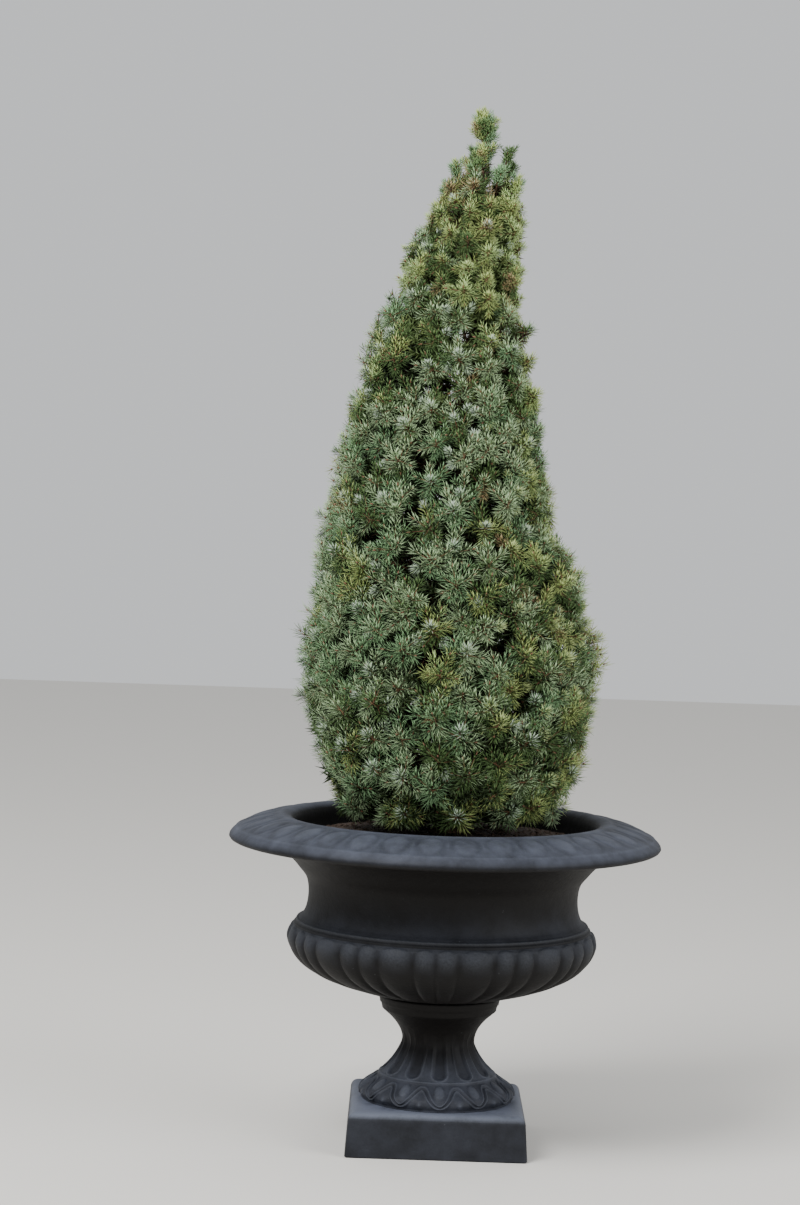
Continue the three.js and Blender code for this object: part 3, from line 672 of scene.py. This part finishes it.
def reach(height, azimuth):
    """How far the crown reaches from the trunk: the outline's mean of right and left, plus half
    their difference times the cosine of the azimuth."""
    right = np.interp(height, OUTLINE[:, 0], OUTLINE[:, 1])
    left = np.interp(height, OUTLINE[:, 0], OUTLINE[:, 2])
    return (right + left) / 2 + (right - left) / 2 * np.cos(azimuth)


def rise(meets):
    """How steeply the boughs climb where they meet the outline at a height: LOW_RISE at the
    lowest foliage, and in step with the height TOP_RISE at the treetop."""
    return LOW_RISE + (TOP_RISE - LOW_RISE) * (meets - LOWEST) / (TREE_TOP - LOWEST)


def sheet(meets, azimuth, distance):
    """The height, at a distance from the trunk, of the climbing sheet that meets the outline at
    a given height: lower by the rise for each unit inwards. No sheet dips into the soil."""
    return np.maximum(meets - rise(meets) * (reach(meets, azimuth) - distance), GROUND + 0.005)


def unit(vectors):
    """The vectors at length 1."""
    return vectors / (np.linalg.norm(vectors, axis=-1, keepdims=True) + 1e-12)


def across_of(axis):
    """Two unit vectors square to each axis and to each other: the cross product with a helper
    that isn't along the axis, and the cross product with that."""
    helper = np.where(np.abs(axis[..., 2:]) < 0.9, [0.0, 0.0, 1.0], [1.0, 0.0, 0.0])
    first = unit(np.cross(axis, helper))
    return first, np.cross(axis, first)


def rays(axis, sides):
    """Unit vectors square to each axis in even steps round it: shape (axes, sides, 3)."""
    first, second = across_of(axis)
    angle = np.arange(sides) * 2 * np.pi / sides
    return first[:, None] * np.cos(angle)[:, None] + second[:, None] * np.sin(angle)[:, None]


def limbs(starts, ends, start_radius, end_radius, sides, sag=0.0):
    """Tapering limbs from starts to ends: three rings of corners round each, at its two ends and
    its middle, which hangs below the straight line by sag times the length. Returns corners and
    triangles, with a fan over each tip and one over each root."""
    count = len(starts)
    axis = unit(ends - starts)
    length = np.linalg.norm(ends - starts, axis=1)
    middle = (starts + ends) / 2 - np.array([0, 0, 1]) * (sag * length)[:, None]
    places = np.stack([starts, middle, ends], axis=1)
    radii = np.stack([start_radius, (start_radius + end_radius) / 2, end_radius], axis=1)
    rings = places[:, :, None] + rays(axis, sides)[:, None] * radii[:, :, None, None]
    peaks = (ends + axis * end_radius[:, None])[:, None]
    corners = np.concatenate([rings.reshape(count, -1, 3), peaks], axis=1)
    i = np.arange(sides)
    after = (i + 1) % sides
    faces = []
    for k in (0, sides):
        near, far = k + after, k + sides + after
        faces += [np.stack([k + i, near, far], 1), np.stack([k + i, far, k + sides + i], 1)]
    faces.append(np.stack([2 * sides + i, 2 * sides + after, np.full(sides, 3 * sides)], 1))
    faces.append(np.stack([np.zeros(sides - 2, int), i[2:], i[1:-1]], 1))
    return corners.reshape(-1, 3), for_each(np.vstack(faces), count, 3 * sides + 1)


def chance(item, use):
    """A repeatable number from 0 to 1 for an item and a use: the fraction of a large sine."""
    value = np.sin(item * 127.1 + use * 311.7) * 43758.5453
    return value - np.floor(value)


bough_rows, bough_names, mass_rows = [], [], []
for tier, (low, high, boughs, turn) in enumerate(TIERS):
    middle = (low + high) / 2
    up_share = (middle - LOWEST) / (TREE_TOP - LOWEST)
    for bough in range(boughs):
        azimuth = turn + 2 * math.pi / boughs * bough
        outer = float(reach(middle, azimuth))
        run = outer * 0.34
        tip = beside(azimuth, run, sheet(middle, azimuth, run))
        foot = trunk_middle(tip[2] - run * (rise(middle) - 0.1))
        radii = [between(*BOUGH_ROOTS, up_share), between(*BOUGH_TIPS, up_share)]
        bough_rows.append([*foot, *tip, *radii])
        bough_names.append(f"bough_{tier + 1}_{bough + 1}")
        stem_end = beside(azimuth, outer * 0.55, sheet(middle, azimuth, outer * 0.55))
        space = (low, high, azimuth, math.pi / boughs, outer * 0.3)
        mass_rows.append((tier, bough, *space, stem_end, up_share))

# Each spire: the azimuth of its steep bough, and the tips of its tufts as (azimuth, distance from
# the trunk's axis, height).
SPIRES = {
    "right": (
        -0.3,
        [(-0.15, 0.040, 1.424), (-0.9, 0.041, 1.396), (0.35, 0.048, 1.406), (-0.2, 0.056, 1.384)],
    ),
    "back": (1.8, [(2.1, 0.041, 1.412), (1.4, 0.045, 1.402)]),
    "left": (3.9, [(3.4, 0.043, 1.402), (4.4, 0.041, 1.402), (3.3, 0.054, 1.374)]),
}
SPIRE_ROOT = 1.316
SPIRE_RUN = 0.022
SPIRE_CLIMB = 0.030
SPIRE_RADII = (0.0032, 0.0026)
for side, (azimuth, _) in SPIRES.items():
    foot = trunk_middle(np.array(SPIRE_ROOT))
    tip = beside(azimuth, SPIRE_RUN, SPIRE_ROOT + SPIRE_CLIMB)
    bough_rows.append([*foot, *tip, *SPIRE_RADII])
    bough_names.append(f"bough_spire_{side}")

bough_rows = np.array(bough_rows)
bough_mesh = limbs(
    bough_rows[:, 0:3], bough_rows[:, 3:6], bough_rows[:, 6], bough_rows[:, 7], BOUGH_SIDES, 0.03
)
boughs_piece = add_mesh("boughs_bark", *bough_mesh, bark)
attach(boughs_piece, "root")
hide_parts(*bough_names)

# Twigs. Every mass grows from its bough's tip by one rule: branchlets fan out to the feet of
# sprays that stand in rows, and a spray is a leading shoot with a ring of side shoots that end
# on the crown's outline. Shorter shoots fill the shade behind them.
SPRAY_GAP = 0.046
CORE_DEPTH = 0.62
OUTER, SHADED, BRUSH = 0, 1, 2
LEAD_NEEDLES = 46
# The side shoots of a spray stand in one ring that ends on the outline and one in its shade. For
# each: how many there are, their layer, their needles, those needles' length as a share of the
# leading shoot's, the ring's radius in gaps, and two ranges as (least, more): where along the
# branchlet they start, and how far inside the outline they end.
RING = (7, OUTER, 38, 0.92, 0.54, (0.42, 0.36), (0.0, 0.014))
SHADE = (5, SHADED, 20, 0.95, 0.36, (0.10, 0.40), (0.020, 0.018))
INNER_SHOOTS = 8
INNER_NEEDLES = 18
# The length of a leading shoot, of a side shoot and of an inner one that bears needles.
LEAD_GREEN, SIDE_GREEN, INNER_GREEN = 0.036, 0.030, 0.030
CROWN_FLOOR = 0.472
CROWN_CEILING = 1.400


def turned_from(azimuth, middle):
    """How far an azimuth is turned from the middle one, the shorter way round: the angle with
    the sine and the cosine of their difference."""
    return np.arctan2(np.sin(azimuth - middle), np.cos(azimuth - middle))


def place_of(points):
    """The azimuth, the distance from the trunk's axis and the height of points."""
    x = points[..., 0] - TRUNK_LEAN * (points[..., 2] - GROUND)
    return np.arctan2(points[..., 1], x), np.hypot(x, points[..., 1]), points[..., 2]


def headed(azimuth, climb):
    """Unit vectors with an azimuth a and a climb c above the horizontal: (cos a cos c,
    sin a cos c, sin c)."""
    return polar(azimuth, np.cos(climb), np.sin(climb))


def square_to(axis, about):
    """Unit vectors square to each axis, turned round it by an angle."""
    first, second = across_of(axis)
    return first * np.cos(about)[:, None] + second * np.sin(about)[:, None]


# Every shoot: its root, its tip, its needles' length and number, its layer and its spray.
shoots = []
# Wood: where it starts, where it ends, and its radius.
twigs, branchlets = [], []
sprays_so_far = 0


def lay(wood, starts, ends, radius):
    """Adds wood of one radius from starts to ends."""
    starts = np.broadcast_to(starts, ends.shape)
    wood.append(np.column_stack([starts, ends, np.full(len(ends), radius)]))


def grow(roots, tips, needle, count, layer, spray, radius):
    """Adds shoots, and a twig under each."""
    rest = np.broadcast_arrays(needle, count, layer, spray, np.zeros(len(roots)))[:4]
    shoots.append(np.column_stack([roots, tips, *rest]))
    lay(twigs, roots, tips, radius)


for tier, bough, low, high, middle_azimuth, half_angle, inner, stem_end, up_share in mass_rows:
    outer = float(reach((low + high) / 2, middle_azimuth))
    size = between(1, 0.78, up_share)
    gap = SPRAY_GAP * size
    columns = round(2 * half_angle * outer * 0.85 / gap)
    rows = round((high - low) / gap)
    column, row = np.divmod(np.arange(columns * rows), rows)
    seed = 1000 * tier + 200 * bough + np.arange(columns * rows)
    spray = sprays_so_far + np.arange(len(seed))
    sprays_so_far += len(seed)

    # The feet of the sprays, in rows that zigzag from column to column.
    zigzag = np.where(column % 2 == 1, 0.25, -0.25)
    share = (row + 0.5 + zigzag + 0.3 * (chance(seed, 11) - 0.5)) / rows
    meets = low + (high - low) * share
    depth = inner + (reach(meets, middle_azimuth) - inner) * CORE_DEPTH
    turn_share = (column + 0.5 + 0.4 * (chance(seed, 12) - 0.5)) / columns
    azimuth = middle_azimuth + (turn_share * 2 - 1) * (half_angle - 0.003 / depth)
    foot = beside(azimuth, depth, sheet(meets, azimuth, depth))

    # The leading shoots.
    climb = np.arctan(rise(meets)) + (-0.1 + 0.2 * share) + (-0.06 + 0.12 * chance(seed, 1))
    stagger = np.where(row % 2 == 1, 0.12, -0.12)
    along = headed(azimuth + 0.25 * turned_from(azimuth, middle_azimuth) + stagger, climb)
    far = (reach(meets, azimuth) - depth) * (0.91 + 0.18 * chance(seed, 2))
    needle = (0.0215 - 0.0100 * up_share) * (0.9 + 0.2 * chance(seed, 7))
    set_back = 0.018 * chance(seed, 3) ** 1.5
    length = np.maximum(far / np.cos(climb) - 0.6 * needle - set_back, 0.012)
    tip = foot + along * length[:, None]
    bare_end = foot + along * (np.clip(1 - LEAD_GREEN / length, 0, 0.7) * length)[:, None]
    grow(bare_end, tip, needle, LEAD_NEEDLES, OUTER, spray, 0.0011 * size)
    lay(branchlets, stem_end, foot, 0.0016 * size)
    lay(branchlets, foot, bare_end, 0.0014 * size)

    # The side shoots.
    tip_azimuth, tip_distance, tip_height = place_of(tip)
    for k in range(RING[0] + SHADE[0]):
        around, layer, needles, needle_share, ring, starts, insets = RING if k < RING[0] else SHADE
        item = 10 * seed + k
        about = 2 * np.pi * (k / around + chance(seed, 4)) + 0.7 * (chance(item, 5) - 0.5)
        out = gap * (ring + 0.16 * (chance(item, 6) - 0.5))
        end_height = np.clip(tip_height + out * np.sin(about), CROWN_FLOOR, CROWN_CEILING)
        end_azimuth = tip_azimuth + out * np.cos(about) / tip_distance
        inset = 0.5 * needle + set_back + (insets[0] + insets[1] * chance(item, 7))
        end_distance = np.maximum(reach(end_height, end_azimuth) - inset, 0.02)
        end = beside(end_azimuth, end_distance, end_height)
        start = foot + along * (length * (starts[0] + starts[1] * chance(item, 8)))[:, None]
        span = np.linalg.norm(end - start, axis=1)
        bare_end = end + (start - end) * np.clip(SIDE_GREEN / span, 0, 1)[:, None]
        grow(bare_end, end, needle * needle_share, needles, layer, spray, 0.0009 * size)
        lay(branchlets, start, bare_end, 0.0010 * size)

    # Short old shoots stand anywhere between the trunk and the sprays, and close the crown to
    # light.
    item = 5000 * tier + 700 * bough + np.arange(INNER_SHOOTS * len(seed))
    meets = low + (high - low) * chance(item, 31)
    azimuth = middle_azimuth + 0.97 * half_angle * (2 * chance(item, 32) - 1)
    whole = reach(meets, azimuth)
    distance = np.minimum(whole * (0.20 + 0.66 * chance(item, 33) ** 0.6), whole - 0.046)
    start = beside(azimuth, distance, np.maximum(sheet(meets, azimuth, distance), GROUND + 0.02))
    way = headed(azimuth + 2.4 * (chance(item, 34) - 0.5), 0.9 * chance(item, 35))
    end = start + INNER_GREEN * size * way
    grow(start, end, 0.0185 * size, INNER_NEEDLES, SHADED, sprays_so_far, 0.0009)
    lay(twigs, stem_end, start, 0.0008)

# The leader's tufts and the spires' tufts: fat upright brushes on thin stems. Each has a middle
# shoot and a ring of six.
LEADER_TIPS = [
    (3.1, 0.011, 1.475), (4.7, 0.005, 1.473), (0.0, 0.015, 1.467), (1.6, 0.011, 1.469),
    (4.7, 0.013, 1.461), (3.2, 0.017, 1.459), (0.1, 0.018, 1.454), (3.2, 0.021, 1.424),
    (4.4, 0.013, 1.427), (5.9, 0.018, 1.431), (1.2, 0.018, 1.424), (2.3, 0.019, 1.419),
]
TUFT_LENGTH = 0.032
leader_foot = trunk_middle(np.array([TRUNK_TOP - 0.002]))
leader_head = trunk_middle(np.array([TREE_TOP - 0.030]))
lay(branchlets, leader_foot, leader_head, 0.0032)
brushes = [(trunk_middle(np.array(tip[2] - TUFT_LENGTH)), beside(*tip)) for tip in LEADER_TIPS]
for azimuth, tips in SPIRES.values():
    bough_end = beside(azimuth, SPIRE_RUN, SPIRE_ROOT + SPIRE_CLIMB)
    for tip in tips:
        brush_root = beside(tip[0], 0.8 * tip[1], tip[2] - TUFT_LENGTH)
        lay(branchlets, bough_end, brush_root[None], 0.0024)
        brushes.append((brush_root, beside(*tip)))
for number, (start, end) in enumerate(brushes):
    axis = unit(end - start)
    end = end - axis * 0.007
    grow(start[None], end[None], 0.0115, 100, BRUSH, sprays_so_far, 0.0015)
    k = np.arange(6)
    side = square_to(axis[None], k * np.pi / 3 + number)
    roots = start + axis * (0.004 + 0.0022 * k)[:, None]
    tips = roots + side * (0.0060 + 0.003 * chance(k + 50 * number, 9))[:, None]
    tips = tips + axis * (0.012 + 0.004 * chance(k + 50 * number, 10))[:, None]
    grow(roots, tips, 0.0105, 34, BRUSH, sprays_so_far, 0.0010)
    sprays_so_far += 1

shoots, twigs, branchlets = np.vstack(shoots), np.vstack(twigs), np.vstack(branchlets)
branchlet_root, branchlet_tip, branchlet_thick = np.split(branchlets, (3, 6), axis=1)
branchlet_thick = branchlet_thick[:, 0]
shoot_root, shoot_tip, shoot_needle = shoots[:, 0:3], shoots[:, 3:6], shoots[:, 6]
shoot_count, shoot_layer, shoot_spray = shoots[:, 7:10].astype(int).T
foliage_nodes = [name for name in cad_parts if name.startswith("foliage_")]


def spikes(bases, points, widths):
    """Four-faced spikes: a triangle round each base, in a circle as wide as the width, and a
    point. Returns corners and triangles."""
    ring = rays(unit(points - bases), 3) * np.reshape(widths, (-1, 1, 1)) / 2
    corners = np.concatenate([bases[:, None] + ring, points[:, None]], axis=1)
    faces = np.array([[0, 1, 3], [1, 2, 3], [2, 0, 3], [2, 1, 0]])
    return corners.reshape(-1, 3), for_each(faces, len(bases), 4)


# Young shoots have thin, ribbed, orange-brown bark and taper to a point; the branchlets that
# carry them are browner and keep more of their thickness. Both are dull.
twig_mesh = spikes(twigs[:, 0:3], twigs[:, 3:6], 2.4 * twigs[:, 6])
branchlet_mesh = limbs(branchlet_root, branchlet_tip, branchlet_thick, 0.65 * branchlet_thick, 3)
for name, colour, shape in (
    ("young_twigs", "#7d5b40", twig_mesh),
    ("branchlets", "#5e4534", branchlet_mesh),
):
    wood_bark, _ = new_material(f"{name}_bark", colour, 0.8)
    made = add_mesh(name, *shape, wood_bark)
    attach(made, "root")
    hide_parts(*foliage_nodes)

# Needles. They stand all round each shoot on a golden-angle spiral, lean forwards and crowd at
# its end, where many shoots carry a pale tuft of this year's growth. A waxy bloom makes them blue
# or grey; those on the right are yellower, those high up are paler and yellower as painted light,
# and near the top they are bronze. The needles of the shaded and inner shoots, and the old ones
# along the branchlets, are darkened as painted shade.
GOLDEN_ANGLE = math.pi * (3 - math.sqrt(5))
NEEDLE_WIDTH = 0.0017
SHADE_WIDTH = 0.0038
# How far needles lean from their shoot at its root and at its tip, by layer.
LEANS = {OUTER: (1.05, 0.50), SHADED: (1.15, 0.70), BRUSH: (1.00, 0.38)}
# The shares of leading and of other outer shoots that bear a pale tuft, and a tuft's needles.
TUFTED_LEADS, TUFTED_OTHERS, TUFT_NEEDLES = 0.42, 0.07, 24
# The length of the old needles along a branchlet, and how far apart they stand.
OLD_NEEDLE, OLD_NEEDLE_STEP = 0.018, 0.0020
# So many four-faced needles make a piece of under 200,000 triangles.
NEEDLES_IN_PIECE = 195000 // 4
# The palest yellow-green stands for painted light high in the crown. The three darkest colours are
# painted shade for the needles inside the crown: a green, a lighter green for those high up, and a
# brown for the old needles.
NEEDLE_COLOURS = {
    "blue_green": "#86aa7c",
    "grey_green": "#adc699",
    "deep_green": "#5f7a49",
    "yellow_green": "#aebf76",
    "bronze": "#a3936a",
    "silver_tuft": "#b8c8b4",
    "sun_green": "#b6cf8a",
    "lime_tuft": "#bccb8c",
    "shade_green": "#303e24",
    "shade_brown": "#3a2d20",
    "light_shade": "#57673c",
}
# A brush's colours, each from a share upwards.
BRUSH_COLOURS = {0.0: "deep_green", 0.38: "blue_green", 0.62: "yellow_green", 0.84: "bronze"}
rng = np.random.default_rng(300)


def needles_of(roots, tips, lengths, counts, lean_low, lean_high, spread):
    """Needles round shoots. Needle k of a shoot stands at share t of its length, turned by k
    golden angles, and leans from the shoot's axis by an angle that goes from lean_low at the root
    to lean_high at the tip. Returns bases, points and the shoot that each belongs to."""
    owner = np.repeat(np.arange(len(roots)), counts)
    k = np.arange(len(owner)) - np.repeat(np.cumsum(counts) - counts, counts)
    share = (k + 0.5) / counts[owner]
    axis = unit(tips - roots)[owner]
    lean = lean_low + (lean_high - lean_low) * share**1.5 + rng.normal(0, spread, len(k))
    side = square_to(axis, k * GOLDEN_ANGLE + 1.7 * owner)
    way = axis * np.cos(lean)[:, None] + side * np.sin(lean)[:, None]
    base = roots[owner] + (tips - roots)[owner] * share[:, None]
    length = lengths[owner] * rng.uniform(0.82, 1.1, len(k))
    return base, base + way * length[:, None], owner


def slivers(bases, points, width):
    """Each needle is a four-faced sliver with a ridge along its back: a point at its base, two
    corners a width apart and lower by 0.3 of it, past the middle, and a point at its end."""
    first, second = across_of(unit(points - bases))
    middle = bases * 0.38 + points * 0.62 + second * (0.3 * width)
    side = first * (width / 2)
    corners = np.stack([bases, middle + side, middle - side, points], axis=1)
    faces = np.array([[0, 2, 1], [1, 2, 3], [0, 1, 3], [0, 3, 2]])
    return corners.reshape(-1, 3), for_each(faces, len(bases), 4)


# Each spray takes a colour by its place: yellower on the right, bluer and greyer on the left,
# bronze at the top, and paler high up, which is painted light for the brighter top of the crown.
# The picks are mostly the spray's and partly the shoot's.
each_shoot = np.arange(len(shoots))
spray_azimuth, _, spray_height = place_of(shoot_tip)
rightness = np.cos(spray_azimuth)
on_right = np.clip(rightness, 0, 1)
pick = 0.65 * chance(shoot_spray, 21) + 0.35 * chance(each_shoot, 22)
# How high a spray stands. The higher it stands, the more its picks go to the paler greens: painted
# light for the brighter top of the crown.
high_up = smooth_step(0.98, 1.36, spray_height + 0.10 * (chance(shoot_spray, 27) - 0.5))
shares = {
    "sun_green": 0.06 + 0.14 * on_right + 0.34 * high_up,
    "yellow_green": 0.11 + 0.13 * on_right + 0.10 * high_up,
    "bronze": 0.02 + 0.12 * smooth_step(1.28, 1.40, spray_height),
    "deep_green": 0.22 - 0.06 * high_up,
    "grey_green": 0.27 - 0.10 * on_right - 0.10 * high_up,
}
shoot_colour = np.full(len(shoots), "blue_green", dtype="<U16")
before = np.zeros(len(shoots))
for colour, part in shares.items():
    shoot_colour[(pick >= before) & (pick < before + part)] = colour
    before = before + part
for least, colour in BRUSH_COLOURS.items():
    shoot_colour[(shoot_layer == BRUSH) & (pick >= least)] = colour
# Shoots inside the crown take painted shade: a dark green, and a lighter one high up, where more
# light gets in.
in_shade = shoot_layer == SHADED
shoot_colour[in_shade] = "shade_green"
in_light = spray_height > 1.02 + 0.26 * chance(shoot_spray, 25)
shoot_colour[in_shade & in_light] = "light_shade"

by_colour = {colour: [] for colour in NEEDLE_COLOURS}
for layer, leans in LEANS.items():
    chosen = shoot_layer == layer
    these = [each[chosen] for each in (shoot_root, shoot_tip, shoot_needle, shoot_count)]
    bases, points, owner = needles_of(*these, *leans, 0.13)
    colour_here = shoot_colour[chosen][owner]
    for colour in np.unique(colour_here):
        of_colour = colour_here == colour
        by_colour[str(colour)].append((bases[of_colour], points[of_colour]))

# The pale tufts at shoot ends.
tufted = np.where(shoot_count == LEAD_NEEDLES, TUFTED_LEADS, TUFTED_OTHERS)
has_tuft = (chance(each_shoot, 23) < tufted) & (shoot_layer == OUTER)
roots, tips = shoot_root[has_tuft], shoot_tip[has_tuft]
way = unit(tips - roots)
bases, points, owner = needles_of(
    tips - way * 0.005,
    tips + way * 0.001,
    0.85 * shoot_needle[has_tuft],
    np.full(len(tips), TUFT_NEEDLES),
    1.0,
    0.15,
    0.10,
)
lime = (rightness[has_tuft] > 0.15) | (spray_height[has_tuft] > 1.22)
lime = lime & (chance(np.arange(len(tips)), 24) < 0.6)
for colour, chosen in (("lime_tuft", lime[owner]), ("silver_tuft", ~lime[owner])):
    by_colour[colour].append((bases[chosen], points[chosen]))

# The old brown needles along the branchlets in the shade. Their brown is the old needles' own,
# darkened further as painted shade.
wood_length = np.linalg.norm(branchlet_tip - branchlet_root, axis=1)
old_wood = (wood_length > 0.022) & (branchlet_thick > 0.0011)
bases, points, _ = needles_of(
    branchlet_root[old_wood],
    branchlet_tip[old_wood],
    np.full(old_wood.sum(), OLD_NEEDLE),
    (wood_length[old_wood] / OLD_NEEDLE_STEP).astype(int),
    1.2,
    0.9,
    0.2,
)
by_colour["shade_brown"].append((bases, points))

# Spruce needles under a thin bloom of wax: half matt, with only a faint shine, and each in one of
# the greens or browns.
for colour, shade in NEEDLE_COLOURS.items():
    wax, wax_shader = new_material(f"waxy_needles_{colour}", shade, 0.5)
    wax_shader.inputs["Specular IOR Level"].default_value = 0.25
    bases = np.vstack([pair[0] for pair in by_colour[colour]])
    points = np.vstack([pair[1] for pair in by_colour[colour]])
    shape, width = (spikes, SHADE_WIDTH) if "shade" in colour else (slivers, NEEDLE_WIDTH)
    for number, first_one in enumerate(range(0, len(bases), NEEDLES_IN_PIECE)):
        part = slice(first_one, first_one + NEEDLES_IN_PIECE)
        needle_mesh = shape(bases[part], points[part], width)
        needles = add_mesh(f"needles_{colour}_{number + 1}", *needle_mesh, wax, smooth=False)
        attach(needles, "root")
        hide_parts(*foliage_nodes)

# Resting buds. Most outer shoots that bear no pale tuft end in a pointed bud. It sits among the
# last needles, and its brown scales wait for the spring.
BUD_LENGTH = 0.0060
BUD_WIDTH = 0.0034
BUD_SHARE = 0.75
# Dry bud scales: dull, and a redder brown than the young bark.
bud_scales, _ = new_material("scaly_spruce_buds", "#855f48", 0.8)
has_bud = (shoot_layer == OUTER) & ~has_tuft & (chance(each_shoot, 26) < BUD_SHARE)
bud_base = shoot_tip[has_bud]
bud_way = unit(bud_base - shoot_root[has_bud])
bud_mesh = spikes(bud_base, bud_base + bud_way * BUD_LENGTH, BUD_WIDTH)
buds = add_mesh("resting_buds", *bud_mesh, bud_scales)
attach(buds, "root")
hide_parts(*foliage_nodes)
